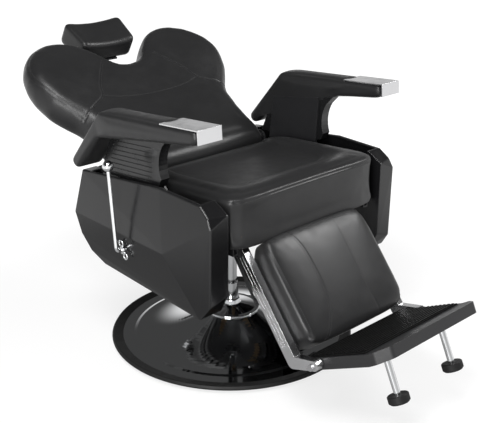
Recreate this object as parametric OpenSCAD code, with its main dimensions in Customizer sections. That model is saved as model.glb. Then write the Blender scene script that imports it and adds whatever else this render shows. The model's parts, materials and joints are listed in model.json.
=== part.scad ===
// Reclining barber chair on a hydraulic base, in millimetres.
// Origin: centre of the base on the floor. The chair faces -Y, +Z is up, +X is the sitter's left.

/* [Base] */
// Diameter of the round base
base_d = 650; // [560:1:760]
// Height of the rubber rim that rests on the floor
rim_h = 20; // [12:1:30]
// Width of the rubber rim
rim_w = 42; // [30:1:60]
// Width of the flat chrome band inside the rim
band_w = 38; // [20:1:60]
// Height of the collar seat above the floor
dish_h = 76; // [60:1:110]
// Radius of the collar seat
collar_r = 75; // [62:1:95]
// Wall of the pressed chrome dish
dish_t = 3; // [2:0.5:5]
// Thickness of the steel ground plate
ground_t = 6; // [4:0.5:12]

/* [Lift] */
// Outer diameter of the chrome pump barrel at its foot
barrel_d = 38; // [36:0.5:50]
// Height of the top of the barrel above the floor
barrel_top = 152; // [145:1:180]
// Diameter of the lifting ram
ram_d = 29; // [24:0.5:31]
// Travel of the lift
lift_travel = 90; // [60:1:95]
// Length of the foot pedal from its pin
pedal_l = 235; // [180:1:300]

/* [Seat] */
// Width of the seat cushion
seat_w = 516; // [460:1:560]
// Front face of the seat, ahead of the lift axis
seat_front = 286; // [240:1:320]
// Rear face of the seat, behind the lift axis
seat_rear = 84; // [60:1:100]
// Lower edge of the seat cushion above the floor
seat_low = 391; // [360:1:420]
// Upper front edge of the seat cushion above the floor
seat_top = 517; // [490:1:560]
// Fall of the seat top from front to rear
seat_fall = 20; // [0:1:40]

/* [Side shrouds] */
// Wall of the moulded shrouds
shroud_t = 4; // [3:0.5:6]
// Gap between the seat and the inner edge of each shroud
shroud_gap = 8; // [8:1:14]
// Depth of each shroud at its widest point
shroud_depth = 74; // [62:1:84]
// Lower edge of the shrouds above the floor
shroud_low = 236; // [215:1:260]

/* [Arms] */
// Reach of each arm pad past the side of the seat
arm_reach = 86; // [76:1:96]
// Width of each arm pad
arm_w = 78; // [60:1:90]
// Thickness of the grooved arm panel
panel_t = 26; // [18:1:30]
// Number of grooves in each arm panel
groove_count = 8; // [4:1:12]
// Thickness of the chrome cap on each arm
cap_t = 3; // [2:0.5:5]

/* [Back] */
// Angle of the reclined back above the horizontal
back_angle = 30; // [20:1:40]
// Thickness of the back cushion
back_t = 105; // [85:1:120]
// Half width of the back across its wings
wing_reach = 323; // [300:1:345]
// Length of the back cushion to the top of its wings
back_l = 509; // [470:1:540]
// Height of the recline pin above the floor
hinge_z = 480; // [470:1:490]
// Distance of the recline pin behind the lift axis
hinge_y = 137; // [132:1:145]
// Diameter of the recline pins
hinge_d = 16; // [12:0.5:20]

/* [Headrest] */
// Width of the headrest at its upper edge
head_w = 186; // [150:1:220]
// Height of the headrest face
head_l = 95; // [70:1:110]
// Thickness of the headrest bar
bar_t = 8; // [5:0.5:10]
// Width of the headrest bar
bar_w = 46; // [30:1:60]
// Travel of the headrest bar in its guide
bar_travel = 60; // [20:1:80]

/* [Legrest] */
// Angle of the raised legrest below the horizontal
leg_angle = 51.5; // [45:0.5:60]
// Length of the legrest rails from their pin to their bend
rail_l = 306; // [260:1:330]
// Width of a rail across the chair
rail_w = 20; // [12:1:22]
// Depth of a rail
rail_d = 30; // [16:1:32]
// Gap between each rail and the frame tube beside it
rail_room = 22; // [16:1:30]
// Length of the legrest cushion
leg_cushion_l = 248; // [200:1:260]

/* [Footrest] */
// Gap between the footrest plate and the rail on each side of it
foot_room = 2; // [1:0.5:6]
// Length of the flat of the footrest plate
foot_l = 190; // [140:1:200]
// Thickness of the rim of the footrest plate
foot_rim = 27; // [20:1:34]
// Number of ribs on the footrest mat
foot_ribs = 14; // [8:1:18]
// Distance between the two footrest legs
foot_leg_gap = 202; // [150:1:260]

/* [Recline lever] */
// Height of the lever shaft above the floor
lever_z = 336; // [325:1:345]
// Length of the lever from its shaft to its ball
lever_l = 213; // [180:1:240]
// Diameter of the lever rod
lever_d = 9; // [7:0.5:12]
// Diameter of the ball knob
knob_d = 27; // [24:1:40]

/* [Hidden] */
$fn = 64;

// Shared small sizes
gap = 0.3;          // running clearance between bodies
cut = 1;            // overrun of every cut
fine = 2;           // smallest edge radius
base_r = base_d/2;

// Middle plane mirror for left and right pieces: side is 1 for +X and -1 for -X
module sided(side) { if (side > 0) children(); else mirror([1, 0, 0]) children(); }

// A profile drawn in (y, z) and extruded along x from x0 by t
module plate_x(x0, t) { translate([x0, 0, 0]) rotate([90, 0, 90]) linear_extrude(t) children(); }

// Where the line through p along u meets the line through q along v
function meet(p, u, q, v) = p + u*((q - p)[0]*v[1] - (q - p)[1]*v[0])/(u[0]*v[1] - u[1]*v[0]);

// Points of an arc about c
function arc_pts(c, r, a0, a1, n) = [for (i = [0:n]) c + r*[cos(a0 + (a1 - a0)*i/n), sin(a0 + (a1 - a0)*i/n)]];

// Mean of a ring of points
function ring_mid(ring) = [for (k = [0:2]) [for (p = ring) p[k]]*[for (p = ring) 1]/len(ring)];

// Closed solid through rings of equal point counts, ended by fans about each end ring's middle or, for a flat
// end that isn't convex, by one face
module loft(rings, flat_ends = false) {
    n = len(rings[0]);
    m = len(rings);
    sides = [for (j = [0:m - 2]) for (i = [0:n - 1]) each [
        [j*n + i, (j + 1)*n + i, j*n + (i + 1)%n],
        [(j + 1)*n + i, (j + 1)*n + (i + 1)%n, j*n + (i + 1)%n]]];
    fans = [for (i = [0:n - 1]) each [[m*n, i, (i + 1)%n], [m*n + 1, (m - 1)*n + (i + 1)%n, (m - 1)*n + i]]];
    ends = [[for (i = [0:n - 1]) i], [for (i = [n - 1:-1:0]) (m - 1)*n + i]];
    middles = flat_ends ? [] : [ring_mid(rings[0]), ring_mid(rings[m - 1])];
    polyhedron(concat([for (r = rings) each r], middles), concat(sides, flat_ends ? ends : fans), convexity = 6);
}

// Unit squircle direction: 1 on the middle of each side, corners rounded by the exponent e
function squircle(a, e) = [cos(a), sin(a)]/pow(pow(abs(cos(a)), e) + pow(abs(sin(a)), e), 1/e);

// Outline of a box with rounded corners: centre c, half sizes h
function box_ring(c, h, e, n) = [for (i = [0:n - 1]) c + [squircle(360*i/n, e)[0]*h[0], squircle(360*i/n, e)[1]*h[1]]];

// How near a direction is to the middle of a side, 1 there and 0 at the corners
function side_share(i, n) = pow(cos(2*360*i/n), 2);

// Base

ground_z = 4;
rim_lip = 29;
rim_foot_out = 26;
rim_belly = 14;
rim_crest = 6;
rim_foot_in = base_r - rim_w;
band_out = base_r - rim_lip - gap;
band_in = base_r - rim_lip - band_w;
band_step = 8;
dish_power = 2.1;
dish_steps = 22;

module ground_plate() {
    color([0.18, 0.18, 0.19])
    difference() {
        translate([0, 0, ground_z]) cylinder(r = rim_foot_in, h = ground_t, $fn = 128);
        for (a = [45:90:315])
            rotate([0, 0, a]) translate([flange_bolt_r, 0, ground_z - cut])
                cylinder(d = flange_bolt_d + 2*gap, h = ground_t + 2*cut, $fn = 32);
    }
}

module base_rim() {
    ledge = rim_h - band_step;
    color([0.06, 0.06, 0.06])
    rotate_extrude($fn = 128)
        polygon(concat(
            [[rim_foot_in, 0], [base_r - rim_foot_out, 0]],
            arc_pts([base_r - rim_crest, rim_belly], rim_crest, -50, 0, 4),
            arc_pts([base_r - rim_crest, rim_belly], min(rim_crest, rim_h - rim_belly), 60, 90, 3),
            [[base_r - rim_lip, rim_h - band_step/2], [base_r - rim_lip, ledge], [rim_foot_in, ledge]]));
}

// Height of the dish at radius r, flat on the band and then rising in a bell curve
function dish_z(r) = let (u = (band_in - r)/(band_in - collar_r)) dish_low + (dish_h - dish_low)*pow(u, dish_power);
dish_low = rim_h + dish_t - band_step + fine;
collar_seat = collar_r - 15;

module base_dish() {
    ledge = rim_h - band_step;
    radii = [for (i = [0:dish_steps]) band_in - (band_in - collar_r)*i/dish_steps];
    color([0.82, 0.83, 0.85])
    rotate_extrude($fn = 128)
        polygon(concat(
            [[band_out, ledge], [band_out, ledge + dish_t], [band_in + band_step, ledge + dish_t]],
            [for (r = radii) [r, dish_z(r)]],
            [[collar_seat, dish_h], [collar_seat, dish_h - dish_t], [collar_r, dish_h - dish_t]],
            [for (i = [dish_steps - 1:-1:1]) [radii[i], dish_z(radii[i]) - dish_t]],
            [[band_in, ledge]]));
}

collar_step = 7;
collar_in = 11;
collar_cone = 8;
collar_ring_h = 17;
collar_ring_t = 3.2;
collar_top = dish_h + collar_step + collar_cone + collar_ring_h;

module base_collar() {
    bore_r = barrel_d/2 + gap;
    color([0.85, 0.86, 0.88])
    rotate_extrude($fn = 96)
        polygon(concat(
            [[bore_r, dish_h]],
            [[collar_r - fine, dish_h], [collar_r, dish_h + fine]],
            arc_pts([collar_r - fine, dish_h + collar_step - fine], fine, 0, 90, 4),
            [[collar_r - collar_in, dish_h + collar_step]],
            [[bore_r + 2*collar_ring_t, dish_h + collar_step + collar_cone]],
            [[bore_r + collar_ring_t, dish_h + collar_step + collar_cone + fine]],
            [[bore_r + collar_ring_t, collar_top - fine], [bore_r + fine/2, collar_top], [bore_r, collar_top]]));
}

flange_r = 112;
flange_t = 10;
flange_bolt_r = 92;
flange_bolt_d = 12;
bolt_head_t = 8;
bolt_head_d = 19;
pump_r = 56;
pump_z = ground_z + ground_t;
ear_angle = 90;        // direction of the pedal, to the rear
pedal_pin_r = 78;      // distance of the pedal pin from the lift axis
pedal_pin_z = 112;
pedal_pin_d = 10;
ear_t = 6;
pedal_w = 22;
ear_round = 13;

// The pump casting: flange, block under the dish
module pump_body() {
    color([0.2, 0.2, 0.22])
    difference() {
        union() {
            translate([0, 0, pump_z]) cylinder(r = flange_r, h = flange_t);
            translate([0, 0, pump_z]) cylinder(r = pump_r, h = dish_h - pump_z);
        }
        translate([0, 0, pump_z + flange_t]) cylinder(d = barrel_d + 2*gap, h = dish_h);
        for (a = [45:90:315])
            rotate([0, 0, a]) translate([flange_bolt_r, 0, pump_z - cut])
                cylinder(d = flange_bolt_d + 2*gap, h = flange_t + 2*cut, $fn = 32);
    }
}

// Hex bolts through the flange and the ground plate
module pump_bolts() {
    color([0.6, 0.6, 0.62])
    for (a = [45:90:315])
        rotate([0, 0, a]) translate([flange_bolt_r, 0, 0]) {
            translate([0, 0, ground_z]) cylinder(d = flange_bolt_d, h = ground_t + flange_t, $fn = 32);
            translate([0, 0, pump_z + flange_t]) cylinder(d = bolt_head_d, h = bolt_head_t, $fn = 6);
        }
}

barrel_floor = 5;
barrel_neck = 33.5;

// Chrome barrel, tapered to its neck, with two ears that carry the pedal
module pump_barrel() {
    low = pump_z + flange_t;
    ear_low = collar_top + fine;
    color([0.86, 0.87, 0.89])
    difference() {
        union() {
            translate([0, 0, low]) cylinder(d = barrel_d, h = collar_top - low);
            translate([0, 0, collar_top]) cylinder(d1 = barrel_d, d2 = barrel_neck, h = barrel_top - collar_top);
            rotate([0, 0, ear_angle])
                for (s = [-1, 1])
                    translate([0, s*(pedal_w/2 + gap + ear_t/2), 0]) rotate([90, 0, 0])
                        translate([0, 0, -ear_t/2]) {
                            translate([0, ear_low, 0])
                                cube([pedal_pin_r, pedal_pin_z + ear_round - ear_low, ear_t]);
                            translate([pedal_pin_r, pedal_pin_z, 0]) cylinder(r = ear_round, h = ear_t, $fn = 48);
                        }
        }
        translate([0, 0, low + barrel_floor]) cylinder(d = ram_d + 2*gap, h = barrel_top);
        rotate([0, 0, ear_angle]) translate([pedal_pin_r, 0, pedal_pin_z]) rotate([90, 0, 0])
            cylinder(d = pedal_pin_d, h = 4*pedal_w, center = true, $fn = 48);
    }
}

pedal_bar_t = 12;
pedal_rise = 10;
pedal_bend = 70;
pedal_pad_l = 70;
pedal_pad_w = 62;
pedal_pad_t = 16;

// Pedal drawn along +x from its pin and turned to its direction
module pedal_frame() { rotate([0, 0, ear_angle]) translate([pedal_pin_r, 0, pedal_pin_z]) children(); }

// Side profile of the pedal arm, extruded to its width
module pedal_blade() {
    boss_r = ear_round - fine;
    rotate([90, 0, 0]) translate([0, 0, -pedal_w/2]) linear_extrude(pedal_w) union() {
        circle(r = boss_r);
        polygon([[0, -boss_r], [pedal_bend, -boss_r], [pedal_l, pedal_rise - pedal_bar_t],
            [pedal_l, pedal_rise], [pedal_bend, boss_r - pedal_rise], [0, boss_r]]);
    }
}

module pedal_arm() {
    color([0.84, 0.85, 0.87])
    pedal_frame()
    difference() {
        pedal_blade();
        rotate([90, 0, 0]) cylinder(d = pedal_pin_d + 2*gap, h = 2*pedal_w, center = true, $fn = 48);
    }
}

module pedal_pad() {
    e = 5;
    n = 40;
    mid = [pedal_l - pedal_pad_l/2, 0];
    low = pedal_rise - pedal_bar_t;
    top = low + pedal_pad_t;
    function lift_ring(inset, z) = [
        for (p = box_ring(mid, [pedal_pad_l/2 - inset, pedal_pad_w/2 - inset], e, n)) [p[0], p[1], z]];
    color([0.05, 0.05, 0.05])
    pedal_frame()
    difference() {
        loft([lift_ring(fine, low), lift_ring(0, low + fine), lift_ring(0, top - 2*fine), lift_ring(2*fine, top)]);
        pedal_blade();
    }
}

module pedal_pin() {
    color([0.6, 0.6, 0.62])
    pedal_frame() rotate([90, 0, 0])
        cylinder(d = pedal_pin_d, h = pedal_w + 2*gap + 2*ear_t, center = true, $fn = 48);
}

// Lift

ram_guide = 36;
ram_low = barrel_top - lift_travel - ram_guide;
hub_low = 290;
ram_top = hub_low + 55;
ram_chamfer = 4;

module lift_ram() {
    color([0.9, 0.9, 0.92]) {
        translate([0, 0, ram_low]) cylinder(d = ram_d, h = ram_top - ram_chamfer - ram_low);
        translate([0, 0, ram_top - ram_chamfer]) cylinder(d1 = ram_d, d2 = ram_d - 2*ram_chamfer, h = ram_chamfer);
    }
}

// Seat frame

plate_t = 8;
tube_h = 38;
tube_w = 16;
tube_wall = 3;
tube_out = seat_w/2 - 20;
tube_in = tube_out - tube_w;
frame_z = seat_low - 15;
cross_z = frame_z - plate_t;
hub_plate_z = cross_z - plate_t;
hub_r = 42;
cross_front = -140;
cross_rear = 40;
cross_w = 50;
tube_front = -seat_front + 24;
tube_rear = 55;
arm_plate_t = 6;
arm_plate_x = seat_w/2 + 2;

module swivel_hub() {
    color([0.12, 0.12, 0.13])
    difference() {
        union() {
            translate([0, 0, hub_low]) cylinder(r = hub_r, h = hub_plate_z - hub_low);
            translate([-110, cross_front, hub_plate_z]) cube([220, cross_rear + cross_w - cross_front, plate_t]);
        }
        translate([0, 0, hub_low - cut]) cylinder(d = ram_d + 2*gap, h = ram_top + fine - hub_low + cut);
    }
}

hinge = [hinge_y, hinge_z];
ear_plate_t = 6;
ear_front = 10;
ear_wide = 20;
ear_x = tube_out;

// Welded frame: two side tubes, two cross flats and the ears of the recline hinge
module seat_frame() {
    color([0.1, 0.1, 0.11])
    for (side = [1, -1]) sided(side) difference() {
        union() {
            difference() {
                translate([tube_in, tube_front, frame_z]) cube([tube_w, tube_rear - tube_front, tube_h]);
                translate([tube_in + tube_wall, tube_front - cut, frame_z + tube_wall])
                    cube([tube_w - 2*tube_wall, tube_rear - tube_front + 2*cut, tube_h - 2*tube_wall]);
            }
            for (y = [cross_front, cross_rear])
                translate([0, y, cross_z]) cube([arm_plate_x, cross_w, plate_t]);
            plate_x(ear_x, ear_plate_t) difference() {
                union() {
                    polygon([[ear_front, frame_z], [hinge_y + ear_wide/2, frame_z], hinge + [ear_wide, 0],
                        hinge - [ear_wide, 0], [seat_rear + fine, seat_low + ear_wide], [seat_rear + fine, seat_low - fine],
                        [ear_front, seat_low - fine]]);
                    translate(hinge) circle(r = ear_wide);
                }
                translate(hinge) circle(d = hinge_d);
            }
        }
        translate([tube_in - cut, leg_pin[0], leg_pin[1]]) rotate([0, 90, 0])
            cylinder(d = leg_pin_d, h = tube_w + 2*cut, $fn = 48);
    }
    // lugs on the front cross flat that carry the stays
    for (side = [1, -1]) sided(side) plate_x(stay_x + stay_t + stay_gap, stay_lug_t) difference() {
        union() {
            translate(stay_pivot) circle(r = stay_w/2);
            polygon([stay_pivot + [0, stay_w/2], stay_pivot - [0, stay_w/2], [cross_front + cross_w/2, cross_z],
                [cross_front + cross_w/2, cross_z + plate_t], [cross_front, cross_z + plate_t]]);
        }
        translate(stay_pivot) circle(d = stay_pin_d);
    }
}

board_t = 12;
skirt_side = 16;
skirt_front = 10;
cavity_corner = 18;
// Outline of the hollow under the seat cushion, moved in by d
function cavity_pts(d) = let (
    x = seat_w/2 - skirt_side - d, c = cavity_corner,
    low = -seat_front + skirt_front + d, high = seat_rear - skirt_front - d)
    [[x, low + c], [x, high - c], [x - c, high], [c - x, high],
        [-x, high - c], [-x, low + c], [c - x, low], [x - c, low]];

module seat_board() {
    color([0.55, 0.42, 0.28])
    translate([0, 0, frame_z + tube_h]) linear_extrude(board_t) polygon(cavity_pts(gap));
}

seat_rings = [[1.5, 0], [0, 0.03], [0, 0.2], [2, 0.5], [1.5, 0.75], [0, 0.9], [2, 0.96], [7, 1], [16, 1.03],
    [34, 1.045], [56, 1.035], [78, 0.975], [100, 0.94], [140, 0.93]];
seat_n = 60;
// The recline lock's rod, and its notch in the rear of the skirt
lock_room = 18;
lock_x = tube_in - lock_room;
lock_z = 399;
lock_rod_d = 11;
rod_room = 4;
notch_w = lock_rod_d + 2*rod_room;
notch_h = lock_z + lock_rod_d/2 + rod_room - seat_low;
seat_draw = 3;
under_z = frame_z + tube_h + board_t;

// Upholstered box seat with a crowned border round a lower middle, and a skirt over the frame
module seat_cushion() {
    h = seat_top - seat_low;
    half = [seat_w/2, (seat_front + seat_rear)/2];
    mid = [0, (seat_rear - seat_front)/2];
    function z_at(share, y) = seat_low + h*share - seat_fall*share*(y + seat_front)/(seat_front + seat_rear);
    function seat_ring(inset, share) = let (flat = box_ring(mid, half - [inset, inset], 9, seat_n))
        [for (i = [0:seat_n - 1]) let (
            pull = seat_draw*side_share(i, seat_n)*(share > 0 && share < 0.9 ? 1 : 0),
            p = mid + (flat[i] - mid)*(1 - pull/norm(flat[i] - mid)))
            [p[0], p[1], z_at(share, p[1])]];
    color([0.16, 0.16, 0.17])
    difference() {
        loft([for (r = seat_rings) seat_ring(r[0], r[1])]);
        translate([0, 0, seat_low - cut]) linear_extrude(under_z - seat_low + cut) polygon(cavity_pts(0));
        translate([lock_x - notch_w/2, seat_rear - skirt_front - cut, seat_low - cut])
            cube([notch_w, skirt_front + 2*cut, notch_h + cut]);
    }
}

// Arm bracket: a steel plate from the cross flats up behind the arm panel

lever_y = 21;
shaft_d = 10;
bush_wall = 2;
lever_boss_r = 18;
// Side view of the arm bracket: where its foot and its head start and end, and its bends as [y, z]
bracket_foot = [-120, 95];
bracket_head = [-64, 104];
bracket_rear = [118, 470];
bracket_front = [[-56, 500], [-110, 440]];

module arm_bracket(lever) {
    color([0.1, 0.1, 0.11])
    plate_x(arm_plate_x, arm_plate_t) difference() {
        union() {
            polygon([[bracket_foot[0], cross_z], [bracket_foot[1], cross_z], bracket_rear,
                [bracket_head[1], panel_top_at(bracket_head[1]) - fine],
                [bracket_head[0], panel_top_at(bracket_head[0]) - fine], each bracket_front]);
            if (lever) {
                translate([lever_y, lever_z]) circle(r = lever_boss_r);
                translate([lever_y - lever_boss_r, lever_z]) square([2*lever_boss_r, cross_z - lever_z + plate_t]);
            }
        }
        if (lever) translate([lever_y, lever_z]) circle(d = shaft_d + 2*bush_wall + 2*gap);
    }
}
module arm_bracket_left() { sided(1) arm_bracket(false); }
module arm_bracket_right() { sided(-1) arm_bracket(true); }

// Side shroud: a faceted moulded shell, open towards the frame and at its top

shroud_round = 5;
shroud_in = seat_w/2 + shroud_gap;
shroud_out = shroud_in + shroud_depth;
shroud_edge = 48;
front_x = shroud_in + shroud_edge;
// Corners of the outer skin as [x, y, z]
skin_corners = [
    [front_x + 3, -267, 492], [front_x + 6, -278, 471], [front_x + 7, -273, 275], [front_x + 15, -249, 242],
    [shroud_out, -138, 368], [front_x + 7, 243, 368], [front_x - 6, 219, 488], [front_x, -104, 518],
    [front_x, -240, 512], [front_x, 230, 311], [front_x - 5, 199, 272], [front_x - 9, 150, 249]];
inner_corners = [
    [shroud_in, -278, 490], [shroud_in, -276, 290], [shroud_in, -252, 246], [shroud_in, 243, 368],
    [shroud_in, 219, 488], [shroud_in, -104, 518], [shroud_in, -240, 512], [shroud_in, 230, 311],
    [shroud_in, 199, 272], [shroud_in, 150, 249]];
skin_mid = [shroud_in, -20, 375];

module skin(inset) {
    function pulled(p, by) = p - by*[for (k = [0:2]) sign(p[k] - skin_mid[k])];
    hull() {
        for (p = skin_corners) translate(pulled(p, inset + shroud_round)) sphere(r = shroud_round, $fn = 16);
        for (p = inner_corners) translate(pulled(p, inset + shroud_round) + [inset, 0, 0])
            rotate([0, 90, 0]) cylinder(r = shroud_round, h = shroud_round, $fn = 16);
    }
}

// The open top runs from behind the front shoulder to the rear wall
skin_top = 520;
window_front = -70;
window_rear = 60;
top_open_front = -232;
top_open_rear = 186;
top_open_low = 440;
top_open_h = 100;
shaft_hole_room = 3;

module side_shroud(lever) {
    color([0.2, 0.2, 0.21])
    difference() {
        skin(0);
        skin(shroud_t);
        translate([shroud_in - cut, top_open_front, top_open_low])
            cube([front_x - shroud_in - 2*shroud_t, top_open_rear - top_open_front, top_open_h]);
        translate([shroud_in - cut, window_front, shroud_low + 4*shroud_t])
            cube([cut + shroud_t, window_rear - window_front, skin_top - shroud_low]);
        if (lever) translate([shroud_in, lever_y, lever_z]) rotate([0, 90, 0])
            cylinder(d = shaft_d + shaft_hole_room, h = top_open_h, $fn = 32);
    }
}
module side_shroud_left() { sided(1) side_shroud(false); }
module side_shroud_right() { sided(-1) side_shroud(true); }

// Arms

arm_out = seat_w/2 + arm_reach;
arm_in = arm_out - arm_w;
panel_x = arm_plate_x + arm_plate_t;
pad_top_front = [-262, 689];
pad_top_rear = [90, 666];
pad_tip_top = [215, 521];
pad_tip_low = [190, 498];
pad_under_rear = [95, 603];
pad_under_front = [-262, 655];
// Height of the underside of the arm pad at y
function panel_top_at(y) = pad_under_front[1] +
    (pad_under_rear[1] - pad_under_front[1])*(y - pad_under_front[0])/(pad_under_rear[0] - pad_under_front[0]);

// Corner rounding of a closed outline: each corner becomes an arc of radius r
function rounded(pts, r, n) = let (m = len(pts)) [for (i = [0:m - 1]) each let (
    p = pts[i], a = pts[(i + m - 1)%m] - p, b = pts[(i + 1)%m] - p,
    ua = a/norm(a), ub = b/norm(b), half = acos(ua*ub)/2, q = min(r/tan(half), norm(a)/2.1, norm(b)/2.1),
    rr = q*tan(half), c = p + (ua + ub)/norm(ua + ub)*rr/sin(half),
    s = p + ua*q - c, e = p + ub*q - c, a0 = atan2(s[1], s[0]), da = atan2(s[0]*e[1] - s[1]*e[0], s*e))
    [for (k = [0:n]) c + rr*[cos(a0 + da*k/n), sin(a0 + da*k/n)]]];

pad_outline = rounded([pad_top_front, pad_under_front, pad_under_rear, pad_tip_low, pad_tip_top, pad_top_rear], 16, 5);
cap_l = 124;
cap_drop = 32;

pad_crown = 2;

// Outline moved inwards by an inset; a negative inset swells its top and leaves its underside
function inset_ring(pts, d) = let (m = len(pts)) [for (i = [0:m - 1]) let (
    t = pts[(i + 1)%m] - pts[(i + m - 1)%m], nrm = [-t[1], t[0]]/norm(t))
    pts[i] + nrm*(d < 0 && nrm[1] > 0 ? 0 : d)];

module arm_pad(side) {
    steps = [[0, 9], [1.5, 4.5], [5, 1.5], [10, 0], [arm_w/2, -pad_crown], [arm_w - 10, 0], [arm_w - 5, 1.5],
        [arm_w - 1.5, 4.5], [arm_w, 9]];
    color([0.15, 0.15, 0.16])
    sided(side) difference() {
        loft([for (s = steps) [for (p = inset_ring(pad_outline, s[1])) [arm_in + s[0], p[0], p[1]]]], flat_ends = true);
        cap_shape(gap, 2*cut + pad_crown);
    }
}
module arm_pad_left() { arm_pad(1); }
module arm_pad_right() { arm_pad(-1); }

// Angle plate over the front of the pad: top leaf and front leaf
module cap_shape(grow, over) {
    slope = (pad_top_rear - pad_top_front)/norm(pad_top_rear - pad_top_front);
    down = [slope[1], -slope[0]];
    lift = 2;
    a = pad_top_front + down*(-lift);
    outer = [a + slope*cap_l + slope*grow, a - slope*(lift + 1), a - slope*(lift + 1) + down*cap_drop];
    inner = [outer[2] + slope*(cap_t + grow), outer[1] + (slope + down)*(cap_t + grow), outer[0] + down*(cap_t + grow)];
    plate_x(arm_in + 5 - grow, arm_w - 10 + 2*grow)
        polygon(concat([outer[0] - down*over, outer[1] - (down + slope)*over, outer[2] - slope*over + down*grow], inner));
}

module arm_cap(side) { color([0.8, 0.81, 0.83]) sided(side) cap_shape(0, 0); }
module arm_cap_left() { arm_cap(1); }
module arm_cap_right() { arm_cap(-1); }

groove_w = 2.4;
groove_d = 2;
panel_front = concat([[-110, panel_top_at(-110) - gap]], arc_pts([-160, 560], 88, 34, -22, 8), [[-68, 508]]);
panel_rear_low = [155, 492];
panel_rear_lean = [-46, 106];
panel_ease = 9;
// The rear of the panel rises to the slanted underside of the pad and follows it round its inner corner
pad_leg_run = (pad_tip_low - pad_under_rear)/norm(pad_tip_low - pad_under_rear);
pad_run = (pad_under_front - pad_under_rear)/norm(pad_under_front - pad_under_rear);
panel_rear = [panel_rear_low, meet(panel_rear_low, panel_rear_lean, pad_under_rear, pad_leg_run) - [gap, gap],
    pad_under_rear + panel_ease*pad_leg_run - [gap, gap], pad_under_rear + panel_ease*pad_run - [0, gap]];
groove_front = -46;
groove_rear = 96;
groove_lean = 0.35;
groove_fall = 11;
groove_first = 599;
groove_last = 516;

// Grooved panel under the pad
module arm_panel(side) {
    color([0.14, 0.14, 0.15])
    sided(side) difference() {
        plate_x(panel_x, panel_t) polygon(concat(panel_front, panel_rear));
        for (i = [0:groove_count - 1]) {
            z = groove_first + (groove_last - groove_first)*i/(groove_count - 1);
            rear = groove_rear + (groove_first - z)*groove_lean;
            plate_x(panel_x + panel_t - groove_d, groove_d + cut)
                polygon([[groove_front, z], [rear, z - groove_fall], [rear, z - groove_fall - groove_w],
                    [groove_front, z - groove_w]]);
        }
    }
}
module arm_panel_left() { arm_panel(1); }
module arm_panel_right() { arm_panel(-1); }

// Recline lock: hydraulic cylinder under the board and the rod that the back draws out

lock_d = 26;
lock_front = cross_front + cross_w;
lock_l = 140;
crank_r = 85;
back_travel = 50;
crank_rest = -back_travel/2;
crank_pin_d = 10;
crank_pin = hinge + crank_r*[sin(crank_rest), -cos(crank_rest)];
slot_l = 22;
eye_w = 24;

module lock_cylinder() {
    color([0.25, 0.25, 0.27])
    difference() {
        union() {
            translate([lock_x, lock_front, lock_z]) rotate([-90, 0, 0]) cylinder(d = lock_d, h = lock_l, $fn = 48);
            translate([lock_x - 8, lock_front - 30, cross_z + plate_t]) cube([16, 34, lock_z + 8 - cross_z - plate_t]);
        }
        translate([lock_x, lock_front + 12, lock_z]) rotate([-90, 0, 0])
            cylinder(d = lock_rod_d + 2*gap, h = lock_l, $fn = 48);
    }
}

module lock_rod() {
    rod_front = lock_front + 30;
    eye_y = crank_pin[0];
    color([0.8, 0.8, 0.82]) {
        translate([lock_x, rod_front, lock_z]) rotate([-90, 0, 0])
            cylinder(d = lock_rod_d, h = eye_y - crank_pin_d - fine - rod_front, $fn = 48);
        plate_x(lock_x - lock_rod_d/2, lock_rod_d) difference() {
            translate([eye_y - crank_pin_d - fine, lock_z - slot_l]) square([eye_w, 2*slot_l]);
            translate([eye_y - crank_pin_d/2 - 1, lock_z - slot_l/2 - 3]) square([crank_pin_d + 2, slot_l + 6]);
        }
    }
}

// Recline hinge pins, through the ears and the back plates
back_plate_x = ear_x - 10;
pin_head = 4;
back_plate_t = 6;
module recline_pins() {
    color([0.7, 0.7, 0.72])
    for (side = [1, -1]) sided(side) {
        translate([back_plate_x - pin_head, hinge[0], hinge[1]]) rotate([0, 90, 0])
            cylinder(d = hinge_d, h = ear_x + ear_plate_t - back_plate_x + pin_head);
        translate([ear_x + ear_plate_t, hinge[0], hinge[1]]) rotate([0, 90, 0]) cylinder(d = hinge_d + 8, h = 3);
    }
}

// Back, drawn flat with s along it and n off its face, then laid at its angle

back_origin = [0, 72, 503];
module back_lay() { translate(back_origin) rotate([back_angle, 0, 0]) children(); }
// The recline pin in the back's own plane
pin_s = (hinge[0] - back_origin[1])*cos(back_angle) + (hinge[1] - back_origin[2])*sin(back_angle);
pin_n = -(hinge[0] - back_origin[1])*sin(back_angle) + (hinge[1] - back_origin[2])*cos(back_angle);

// Half outline from the middle of the lower edge round the wing to the middle of the head notch,
// as shares of the wing reach and of the back length
wing_shares = [[0, 0], [0.37, 0], [0.65, 0.004], [0.708, 0.06], [0.727, 0.17], [0.74, 0.29], [0.757, 0.4], [0.797, 0.46],
    [0.865, 0.515], [0.945, 0.59], [0.995, 0.69], [1, 0.755], [0.965, 0.835], [0.9, 0.9], [0.82, 0.953], [0.7, 0.993],
    [0.6, 1.003], [0.5, 0.995], [0.4, 0.965], [0.32, 0.92], [0.262, 0.875], [0.21, 0.825], [0.135, 0.792], [0, 0.782]];
wing_half = [for (p = wing_shares) [p[0]*wing_reach, p[1]*back_l]];
m_half = len(wing_half);
back_outline = concat(wing_half, [for (i = [m_half - 2:-1:1]) [-wing_half[i][0], wing_half[i][1]]]);
back_mid = [0, 0.55*back_l];
back_edge = 45;
back_flat = -108;

// Middle surface of the back: dished along its length, its wings turned forward
function back_n(p) = let (u = max(0, min(1, p[1]/(0.78*back_l))))
    -52 + 20*u*pow(abs(p[0])/wing_reach, 2) - 12*sin(180*u);
function edge_share(inset) = sqrt(1 - pow(1 - min(inset, back_edge)/back_edge, 2));
function toward_mid(p, inset) = let (d = back_mid - p) p + d*min(inset/norm(d), 0.999);

back_insets = [0, 2, 7, 16, 29, 45];
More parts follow.
